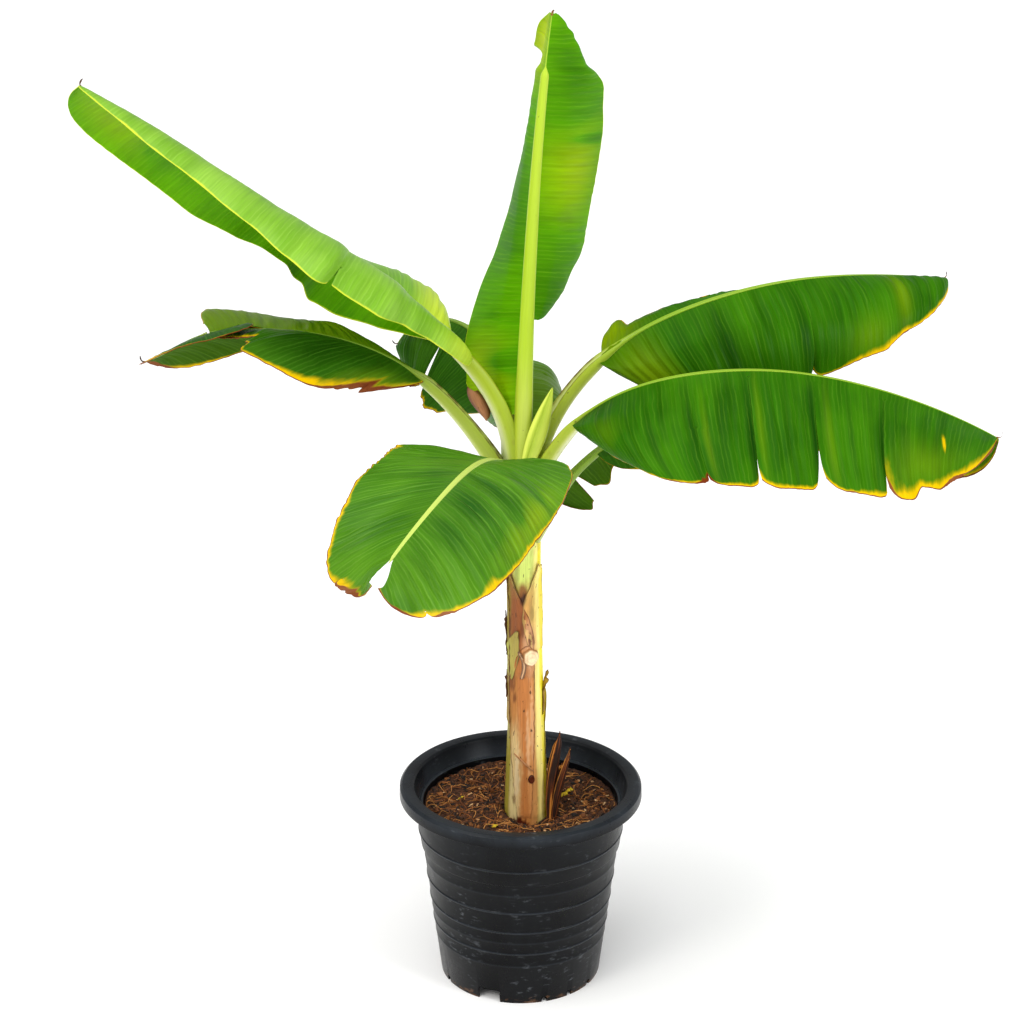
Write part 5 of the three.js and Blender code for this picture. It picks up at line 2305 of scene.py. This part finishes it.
@dataclass
class DryShoot:
    """What is left of a dead shoot beside the stem: dark curled prongs that spread from one foot."""

    seed: float = 61.0
    tints: tuple[str, str, str] = ("#241006", "#7c3c12", "#e09038")
    prongs: tuple[Prong, ...] = (
        Prong((46, -16, 250), (61, 2, 409), 9.0, 210.0, -100.0),
        Prong((50, -18, 250), (77, -8, 386), 7.5, 190.0, -70.0),
        Prong((48, -12, 250), (66, 8, 350), 8.0, 160.0, 60.0),
    )

    def build(self, material: bpy.types.Material) -> bpy.types.Object:
        """Builds the prongs as one piece.

        Args:
            material: Its finish.

        Returns:
            The new piece.
        """
        bm = bmesh.new()
        dark, rust, orange = (linear_colour(tint) for tint in self.tints)
        for number, prong in enumerate(self.prongs):
            low, high = Vector(prong.foot), Vector(prong.tip)

            def spot(s: float, t: float) -> Vector:
                """A shred rolled into a gutter, narrow at its foot, that ends in a torn point.

                Args:
                    s: The share along it.
                    t: The share across or round it.

                Returns:
                    The point, in millimetres.
                """
                swell = run_at(((0.0, 0.55), (0.55, 1.0), (0.85, 0.85), (1.0, 0.12)), s)
                size = prong.wide * swell * (1 + 0.14 * grain(s * 9, number, self.seed))
                angle = math.radians(prong.facing + prong.wrap * (t - 0.5) + 50 * s)
                torn = 7 * grain(t * 7, number, self.seed + 1) * ease(0.8, 1.0, s)
                bow = Vector((0, 0, torn)) + Vector((-5, 0, 0)) * math.sin(math.pi * s)
                return low.lerp(high, s) + bow + Vector((math.cos(angle), math.sin(angle) * 0.8, 0)) * size

            def tint(s: float, t: float) -> Colour:
                """Dark brown with rust streaks, and orange along its edges.

                Args:
                    s: The share along it.
                    t: The share across or round it.

                Returns:
                    The colour there.
                """
                streak = grain(t * 12, s * 2, self.seed + number)
                colour = mixed(dark, rust, ease(-0.1, 0.35, streak))
                rim = ease(0.8, 0.97, abs(2 * t - 1)) * clamp(0.7 + grain(s * 8, t, self.seed))
                return mixed(colour, orange, clamp(ease(0.3, 0.5, streak) * 0.8 + rim * 0.8))

            lay_surface(bm, 52, 20, spot, tint, 30)
        face_out(bm)
        sharpen_rims(bm)
        piece = make_piece("dead_shoot", bm, [material], ["dry_stub"])
        thicken(piece, 1.2)
        return piece


# ---------------------------------------------------------------- compost


@dataclass
class Compost:
    """The bark and coir compost in the pot, with fibres, crumbs, pale chips and fallen leaf bits."""

    radius: float = 151.6
    foot_radius: float = 126
    top: float = 277
    floor: float = 30
    mound: float = 9
    seed: int = 71
    crumbs: int = 1500
    fibres: int = 520
    chips: int = 110
    stem: tuple[float, float] = (10, 16)
    clear: float = 36
    wall_gap: float = 6
    crumb_colours: str = "#201006 #3a1e0a #502c10 #6e3e18 #160a04 #8e5624"
    fibre_colours: str = "#784218 #8e5420 #502c10 #a0662c #bc8040 #3a1e0a"
    chip_colours: str = "#b98a5c #8a5c36 #d0a878 #7a4c2a #c99a6a"
    leaf_bit: str = "#c9a818"
    leaf_bits: tuple[tuple[float, float, float, float], ...] = (
        (-45, -52, 20, 9), (66, 42, 19, 6), (78, 52, 12, 5), (-95, 22, 9, 5),
    )

    def height(self, x: float, y: float) -> float:
        """The compost's height, with a mound near the wall and a hollow in front of the stem.

        Args:
            x: The place across.
            y: The place in depth.

        Returns:
            The height there.
        """
        r = math.hypot(x, y) / self.radius
        ring = self.mound * math.exp(-(((r - 0.92) / 0.35) ** 2)) + 1.5
        sizes = ((38, 6.0, 72), (15, 3.4, 73), (6, 2.0, 74))
        lumps = sum(deep * grain(x / size, y / size, seed) for size, deep, seed in sizes)
        hollow = 17.0 * math.exp(-((math.hypot(x - 14, y + 18) / 52) ** 2))
        return self.top - 3 + ring + lumps - hollow

    def bed(self, material: bpy.types.Material) -> bpy.types.Object:
        """Builds the uneven bed as one closed body.

        Args:
            material: The compost.

        Returns:
            The new piece.
        """

        def spot(s: float, t: float) -> Vector:
            """From the middle of the top out to the wall, and down it to the floor.

            Args:
                s: The share along it.
                t: The share across or round it.

            Returns:
                The point, in millimetres.
            """
            out = way_to(0.0, 2 * math.pi * t)
            if s <= 0.9:
                place = out * (self.radius * s / 0.9 + 0.01)
                return Vector((place.x, place.y, self.height(place.x, place.y)))
            down = (s - 0.9) / 0.1
            place, edge = out * lerp(self.radius, self.foot_radius, down), out * self.radius
            return Vector((place.x, place.y, lerp(self.height(edge.x, edge.y), self.floor, down)))

        def tint(s: float, t: float) -> Colour:
            """One dark colour, which the compost's own pattern covers."""
            return 0.02, 0.012, 0.008, 1.0

        return rolled_piece("compost_bed", (110, 260), spot, tint, 900, material, ["soil"])

    def scatter(self, draw: random.Random, inner: float) -> tuple[float, float]:
        """Picks a place on the compost, clear of the stem.

        Args:
            draw: The source of random numbers.
            inner: The clear distance round the stem's middle.

        Returns:
            The place.
        """
        while True:
            reach = (self.radius - self.wall_gap) * math.sqrt(draw.random())
            angle = draw.random() * 2 * math.pi
            x, y = reach * math.cos(angle), reach * math.sin(angle)
            if math.hypot(x - self.stem[0], y - self.stem[1]) > inner:
                return x, y

    def loose_crumbs(self, material: bpy.types.Material) -> bpy.types.Object:
        """Builds the crumbs and bark bits.

        Args:
            material: Their finish.

        Returns:
            The new piece.
        """
        draw = random.Random(self.seed)
        bm = bmesh.new()
        paint = bm.verts.layers.float_color.new("Tint")
        palette = [linear_colour(c) for c in self.crumb_colours.split()]
        for _ in range(self.crumbs):
            x, y = self.scatter(draw, self.clear)
            size = draw.uniform(1.2, 4.6) * (1.5 if draw.random() < 0.08 else 1.0)
            turn = Matrix.Rotation(draw.uniform(0, 6.28), 4, Vector((draw.random(), draw.random(), 0.6)))
            squash = Matrix.Diagonal((1.0, draw.uniform(0.5, 1.0), draw.uniform(0.4, 0.9), 1.0))
            at = Matrix.Translation((x, y, self.height(x, y) + size * 0.15))
            made = bmesh.ops.create_icosphere(bm, subdivisions=1, radius=size, matrix=at @ turn @ squash)
            colour = draw.choice(palette)
            self.roughen(made["verts"], draw, 1, size * 0.18, paint, colour)
        return make_piece("compost_crumbs", bm, [material])

    def loose_fibres(self, material: bpy.types.Material) -> bpy.types.Object:
        """Builds the coir fibres and fine roots, thickest on the left.

        Args:
            material: Their finish.

        Returns:
            The new piece.
        """
        draw = random.Random(self.seed + 1)
        bm = bmesh.new()
        paint = bm.verts.layers.float_color.new("Tint")
        palette = [linear_colour(c) for c in self.fibre_colours.split()]
        for _ in range(self.fibres):
            x, y = self.scatter(draw, self.clear + 4)
            if x > 10 and draw.random() < 0.55:
                continue
            length, bow = draw.uniform(14, 46), draw.uniform(-12, 12)
            angle, thick = draw.uniform(0, math.pi * 2), draw.uniform(0.35, 0.95)
            arch = draw.uniform(1.0, 6.0)
            colour = draw.choice(palette)
            for vert in self.one_fibre(bm, (x, y), angle, length, bow, arch, thick):
                vert[paint] = colour
        return make_piece("compost_fibres", bm, [material])

    def one_fibre(
        self, bm: bmesh.types.BMesh, start: tuple[float, float], angle: float, length: float, bow: float,
        arch: float, thick: float,
    ) -> list[bmesh.types.BMVert]:
        """Adds one thin bowed fibre that lies on the compost.

        Args:
            bm: The mesh it is added to.
            start: The place of its middle.
            angle: Its direction.
            length: Its length.
            bow: How far it bows sideways.
            arch: How far it arches up.
            thick: Its thickness.

        Returns:
            Its vertices.
        """
        named = place_grid(bm, 7, 3)
        ahead = Vector((math.cos(angle), math.sin(angle), 0))
        side = Vector((-math.sin(angle), math.cos(angle), 0))
        for (i, j), vert in named.items():
            s = i / 7
            flat = ahead * ((s - 0.5) * length) + side * (bow * math.sin(math.pi * s))
            x, y = start[0] + flat.x, start[1] + flat.y
            reach = math.hypot(x, y)
            if reach > self.radius - 4:
                x, y = x * (self.radius - 4) / reach, y * (self.radius - 4) / reach
            z = self.height(x, y) + thick * 0.5 + arch * math.sin(math.pi * s)
            turn = 2 * math.pi * j / 3
            offset = side * (math.cos(turn) * thick) + Vector((0, 0, math.sin(turn) * thick))
            vert.co = Vector((x, y, z)) + offset
        return close_tube(bm, list(named.values()))

    def loose_chips(self, material: bpy.types.Material) -> bpy.types.Object:
        """Builds the pale wood chips and the few yellow leaf bits.

        Args:
            material: Their finish.

        Returns:
            The new piece.
        """
        draw = random.Random(self.seed + 2)
        bm = bmesh.new()
        paint = bm.verts.layers.float_color.new("Tint")
        palette = [linear_colour(c) for c in self.chip_colours.split()]
        for _ in range(self.chips):
            x, y = self.scatter(draw, self.clear + 6)
            size = Vector((draw.uniform(3, 9), draw.uniform(1.5, 3.5), draw.uniform(0.6, 1.6)))
            self.one_chip(bm, paint, draw, (x, y), size, draw.choice(palette))
        for x, y, long, wide in self.leaf_bits:
            self.one_chip(bm, paint, draw, (x, y), Vector((long, wide, 1.2)), linear_colour(self.leaf_bit))
        return make_piece("compost_chips", bm, [material])

    def one_chip(
        self, bm: bmesh.types.BMesh, paint: Any, draw: random.Random, at: tuple[float, float], size: Vector,
        colour: Colour,
    ) -> None:
        """Adds one flat chip with knocked-off corners.

        Args:
            bm: The mesh it is added to.
            paint: The Tint layer.
            draw: The source of random numbers.
            at: Its place.
            size: Its length, width and thickness.
            colour: Its colour.
        """
        turn = Matrix.Rotation(draw.uniform(0, 6.28), 4, "Z")
        lean = Matrix.Rotation(draw.uniform(-0.6, 0.6), 4, "X")
        tip = Matrix.Rotation(draw.uniform(-0.4, 0.4), 4, "Y")
        place = Matrix.Translation((at[0], at[1], self.height(*at) + 2.0)) @ turn @ lean @ tip
        made = bmesh.ops.create_cube(bm, size=1.0, matrix=place @ Matrix.Diagonal((*size, 1.0)))
        self.roughen(made["verts"], draw, 0.4, size.y * 0.3, paint, colour)

    @staticmethod
    def roughen(
        verts: list[bmesh.types.BMVert], draw: random.Random, upright: float, amount: float, paint: Any,
        colour: Colour,
    ) -> None:
        """Moves the corners of one bit at random and colours it.

        Args:
            verts: The bit's vertices.
            draw: The source of random numbers.
            upright: How much of the move may be upward, from 0 to 1.
            amount: The largest move, in millimetres.
            paint: The Tint layer.
            colour: The bit's colour.
        """
        for vert in verts:
            x, y, z = draw.uniform(-1, 1), draw.uniform(-1, 1), draw.uniform(-upright, upright)
            vert.co += Vector((x, y, z)) * amount
            vert[paint] = colour

    def build(self) -> None:
        """Builds the bed and everything loose on it."""
        bits = ScatteredFinish("bark_and_coir_bits").material()
        self.bed(CompostFinish().material())
        self.loose_crumbs(bits)
        self.loose_fibres(bits)
        self.loose_chips(bits)


# ---------------------------------------------------------------- pot


@dataclass
class Pot:
    """A tapered nursery pot with a turned-over rim, a collar, raised rings and notches round its foot."""

    height: float = 325
    foot_radius: float = 126.4
    flare: float = 0.123
    wall: float = 3.2
    collar_bottom: float = 222
    collar_step: float = 3.0
    lip_radius: float = 190
    lip_height: float = 20
    lip_thickness: float = 3
    rim_inner_radius: float = 167
    ledge_depth: float = 33
    ledge_radius: float = 156
    ledge_width: float = 3
    floor_underside: float = 26
    floor_thickness: float = 3
    pad_radius: float = 36
    flat_radius: float = 50
    rings: tuple[tuple[float, float], ...] = (
        (70, 0.5), (94, 1.1), (114, 0.4), (134, 1.3), (171, 1.5), (203, 0.4),
    )
    collar_ring: float = 249
    segments: int = 160
    notch_width: float = 36
    notch_height: float = 21
    notch_turns: tuple[float, ...] = (-113, 7, 127)
    slot_width: float = 8
    slot_height: float = 9
    slot_pitch: float = 20
    corner_round: float = 0.9
    corner_angle: float = 28
    sharp_angle: float = 32

    def wall_radius(self, z: float) -> float:
        """The wall's outer radius at a height."""
        return self.foot_radius + self.flare * z

    def band(self, middle: float, off: float, proud: float) -> list[tuple[float, float]]:
        """The section of a ring that is raised on the wall.

        Args:
            middle: The ring's height.
            off: How far its foot stands off the wall.
            proud: How far its crest stands out of its foot.

        Returns:
            Radius and height, from its lower edge to its upper.
        """
        steps = ((-2.4, 0.0), (-1.3, 0.75), (0.0, 1.0), (1.3, 0.75), (2.4, 0.0))
        return [(self.wall_radius(middle + z) + off + proud * share, middle + z) for z, share in steps]

    def profile(self) -> list[tuple[float, float]]:
        """Draws the pot's section.

        Returns:
            Radius and height, from the middle of its underside round to the middle of its floor.
        """
        outside = [(0.0, 0.0), (self.pad_radius, 0.0), (self.pad_radius, self.floor_underside)]
        outside += [(self.wall_radius(self.floor_underside) - self.wall, self.floor_underside)]
        outside += [(self.wall_radius(0) - self.wall, 0.0), (self.wall_radius(0), 0.0)]
        for z, proud in self.rings:
            outside += self.band(z, 0.0, proud)
        low, step = self.collar_bottom, self.collar_step
        outside += [(self.wall_radius(low), low), (self.wall_radius(low) + step, low + 2.0)]
        outside += self.band(self.collar_ring, step, 1.4)
        under = self.height - self.lip_thickness
        outside += [(self.wall_radius(under) + step, under)]
        outside += [(self.lip_radius - self.lip_thickness - 2, under)]
        bottom = self.height - self.lip_height
        outside += [(self.lip_radius - self.lip_thickness, bottom), (self.lip_radius, bottom)]
        outside += [(self.lip_radius - 0.6, self.height - 4), (self.lip_radius - 5, self.height)]
        ledge = self.height - self.ledge_depth
        floor_top = self.floor_underside + self.floor_thickness
        rim, inner = self.rim_inner_radius, self.ledge_radius - self.ledge_width
        inside = [(rim + 2, self.height - 1.0), (rim - 1, self.height - 4)]
        inside += [(self.ledge_radius + 2.5, ledge + 2), (self.ledge_radius + 0.5, ledge + 3)]
        inside += [(inner, ledge + 1.5), (inner, ledge - 3)]
        inside += [(self.wall_radius(floor_top) - self.wall, floor_top), (0.0, floor_top)]
        return outside + inside

    def turned(self) -> bmesh.types.BMesh:
        """Spins the section into the pot and rounds its corners.

        Returns:
            The mesh, with its edge map of painted highlight.
        """
        bm = bmesh.new()
        verts = [bm.verts.new((radius, 0.0, z)) for radius, z in self.profile()]
        edges = [bm.edges.new(pair) for pair in zip(verts, verts[1:])]
        bmesh.ops.spin(
            bm, geom=[*verts, *edges], cent=(0, 0, 0), axis=(0, 0, 1), angle=2 * math.pi,
            steps=self.segments, use_merge=True,
        )
        bmesh.ops.remove_doubles(bm, verts=bm.verts, dist=1e-3)
        face_out(bm)
        corners = [edge for edge in bm.edges if self.is_corner(edge)]
        bmesh.ops.bevel(
            bm, geom=corners, offset=self.corner_round, offset_type="OFFSET", segments=3, profile=0.5,
            affect="EDGES", clamp_overlap=True, material=-1,
        )
        # the edge map of painted highlight on the ring crests, the lip and the ledge
        edge = bm.verts.layers.float.new("edge")
        for vert in bm.verts:
            vert[edge] = self.painted_highlight(vert.co.xy.length, vert.co.z)
        return bm

    def painted_highlight(self, radius: float, z: float) -> float:
        """How much painted highlight the plastic takes: most on the crests of the rings, the lip and the
        ledge.

        Args:
            radius: The place's distance from the axis.
            z: Its height.

        Returns:
            From 0 to 1.
        """
        if radius > self.lip_radius - 7:
            return 0.8 * ease(self.height - 12, self.height - 4, z)
        if radius > self.rim_inner_radius - 2:
            return 0.25
        ledge = self.height - self.ledge_depth
        if abs(z - ledge - 2.5) < 1.2:
            return 1.0
        if z > ledge - 4 or radius < self.wall_radius(z) - 1:
            return 0.0
        crests = (*self.rings, (self.collar_ring, 1.0))
        return max(clamp(proud) * clamp(1 - abs(z - high) / 2.3) for high, proud in crests)

    def is_corner(self, edge: bmesh.types.BMEdge) -> bool:
        """Whether an edge is part of a ring with a sharp turn.

        Args:
            edge: The edge.

        Returns:
            True where the corner is to be rounded.
        """
        level = abs(edge.verts[0].co.z - edge.verts[1].co.z) < JOIN_MM
        away = edge.verts[0].co.xy.length > self.flat_radius
        sharp = edge.calc_face_angle(0.0) > math.radians(self.corner_angle)
        return level and away and len(edge.link_faces) == 2 and sharp

    def cutter(self) -> bpy.types.Object:
        """Builds the blocks that cut the notches and drain slots.

        Returns:
            The blocks as one object, for the cut only.
        """
        bm = bmesh.new()
        for turn in self.notch_turns:
            self.one_cut(bm, turn, self.notch_width, self.notch_height)
            slots = round(360 / self.slot_pitch / len(self.notch_turns))
            for i in range(2, slots - 1):
                self.one_cut(bm, turn + i * self.slot_pitch, self.slot_width, self.slot_height)
        bmesh.ops.scale(bm, vec=(MM, MM, MM), verts=bm.verts)
        return put_mesh("notch_cutter", bm)

    def one_cut(self, bm: bmesh.types.BMesh, turn: float, width: float, height: float) -> None:
        """Adds one block that stands across the skirt.

        Args:
            bm: The mesh it is added to.
            turn: Its place round the pot, in degrees.
            width: Its width.
            height: How high it cuts.
        """
        below, through = 5, 30
        round_pot = Matrix.Rotation(math.radians(turn), 4, "Z")
        place = round_pot @ Matrix.Translation((self.foot_radius, 0, (height - below) / 2))
        size = Matrix.Diagonal((through, width, height + below, 1.0))
        bmesh.ops.create_cube(bm, size=1.0, matrix=place @ size)

    def build(self) -> bpy.types.Object:
        """Builds the pot with its notches cut.

        Returns:
            The new piece.
        """
        plastic = PotPlasticFinish().material()
        piece = make_piece("nursery_pot", self.turned(), [plastic], ["pot"])
        tool = self.cutter()
        cut = piece.modifiers.new("Notches", "BOOLEAN")
        cut.operation = "DIFFERENCE"
        cut.object = tool
        cut.solver = "EXACT"
        graph = bpy.context.evaluated_depsgraph_get()
        shaped = bpy.data.meshes.new_from_object(piece.evaluated_get(graph))
        piece.modifiers.clear()
        piece.data = shaped
        bpy.data.objects.remove(tool)
        shaped.shade_smooth()
        shaped.set_sharp_from_angle(angle=math.radians(self.sharp_angle))
        return piece


# ---------------------------------------------------------------- studio


@dataclass(frozen=True)
class Lamp:
    """A soft square lamp that points at the plant's middle."""

    name: str
    place: tuple[float, float, float]
    size: float
    watts: float
    colour: str = "#ffffff"


@dataclass
class Studio:
    """A pale floor, soft lamps, an even sky and the camera."""

    lens: float = 97.33
    camera: tuple[float, float, float] = (-0.0135, -3.8911, 2.2946)
    pitch: float = 68.703
    target: tuple[float, float, float] = (0.0, 0.0, 0.85)
    sun: tuple[float, float, float] = (-0.3, -0.38, 1.0)
    sun_watts: float = 2.2
    sun_angle: float = 65.0
    lamps: tuple[Lamp, ...] = (
        Lamp("key_light", (-2.2, -2.4, 2.6), 1.2, 34.0, "#fffaf2"),
        Lamp("rim_light", (2.4, -2.0, 1.8), 0.8, 38.0),
    )
    sky: str = "#ffffff"
    sky_strength: float = 0.56

    def floor(self) -> None:
        """Lays the plain pale floor."""
        bm = bmesh.new()
        bmesh.ops.create_grid(bm, x_segments=1, y_segments=1, size=30.0)
        ground = put_mesh("studio_floor", bm)
        paint = Recipe("floor_paint_matt_white").close({"Base Color": "#ffffff", "Roughness": 0.9})
        ground.data.materials.append(paint)

    def light(self) -> None:
        """Hangs the lamps and sets the sky."""
        for lamp in self.lamps:
            data = bpy.data.lights.new(lamp.name, "AREA")
            data.size = lamp.size
            data.energy = lamp.watts
            data.color = linear_colour(lamp.colour)[:3]
            hung = put(lamp.name, data)
            hung.location = lamp.place
            way = Vector(self.target) - Vector(lamp.place)
            hung.rotation_euler = way.to_track_quat("-Z", "Y").to_euler()
        overhead = bpy.data.lights.new("overhead_light", "SUN")
        overhead.energy = self.sun_watts
        overhead.angle = math.radians(self.sun_angle)
        hung = put("overhead_light", overhead)
        hung.rotation_euler = Vector(self.sun).to_track_quat("Z", "Y").to_euler()
        world = bpy.data.worlds.new("studio_sky")
        world.use_nodes = True
        backdrop = world.node_tree.nodes["Background"]
        backdrop.inputs[0].default_value = linear_colour(self.sky)
        backdrop.inputs[1].default_value = self.sky_strength
        bpy.context.scene.world = world

    def view(self) -> None:
        """Sets up the camera and plain colour handling."""
        data = bpy.data.cameras.new("camera")
        data.lens = self.lens
        data.sensor_width = 36
        camera = put("camera", data)
        camera.location = self.camera
        camera.rotation_euler = (math.radians(self.pitch), 0, 0)
        bpy.context.scene.camera = camera
        bpy.context.scene.view_settings.view_transform = "Standard"

    def build(self) -> None:
        """Sets up the whole studio."""
        self.view()
        self.floor()
        self.light()


# ---------------------------------------------------------------- assembly


def main() -> None:
    """Builds the plant from the camera to the last leaf."""
    Studio().build()
    Pot().build()
    Compost().build()
    Stem().build()
    dry = TintedFinish(
        "banana_shred_dry", 0.7, fibre_mm=2.0, fibre_depth=0.35, relief=0.8, mark="#1e0f08", mark_mm=6.0,
        mark_share=0.12,
    ).material()
    DryShoot().build(dry)
    spear = TintedFinish("banana_spear_young", 0.4, fibre_mm=2.0, fibre_depth=0.08, relief=0.2).material()
    Spear().build(spear)
    Foliage().build(dry)


if __name__ == "__main__":
    main()
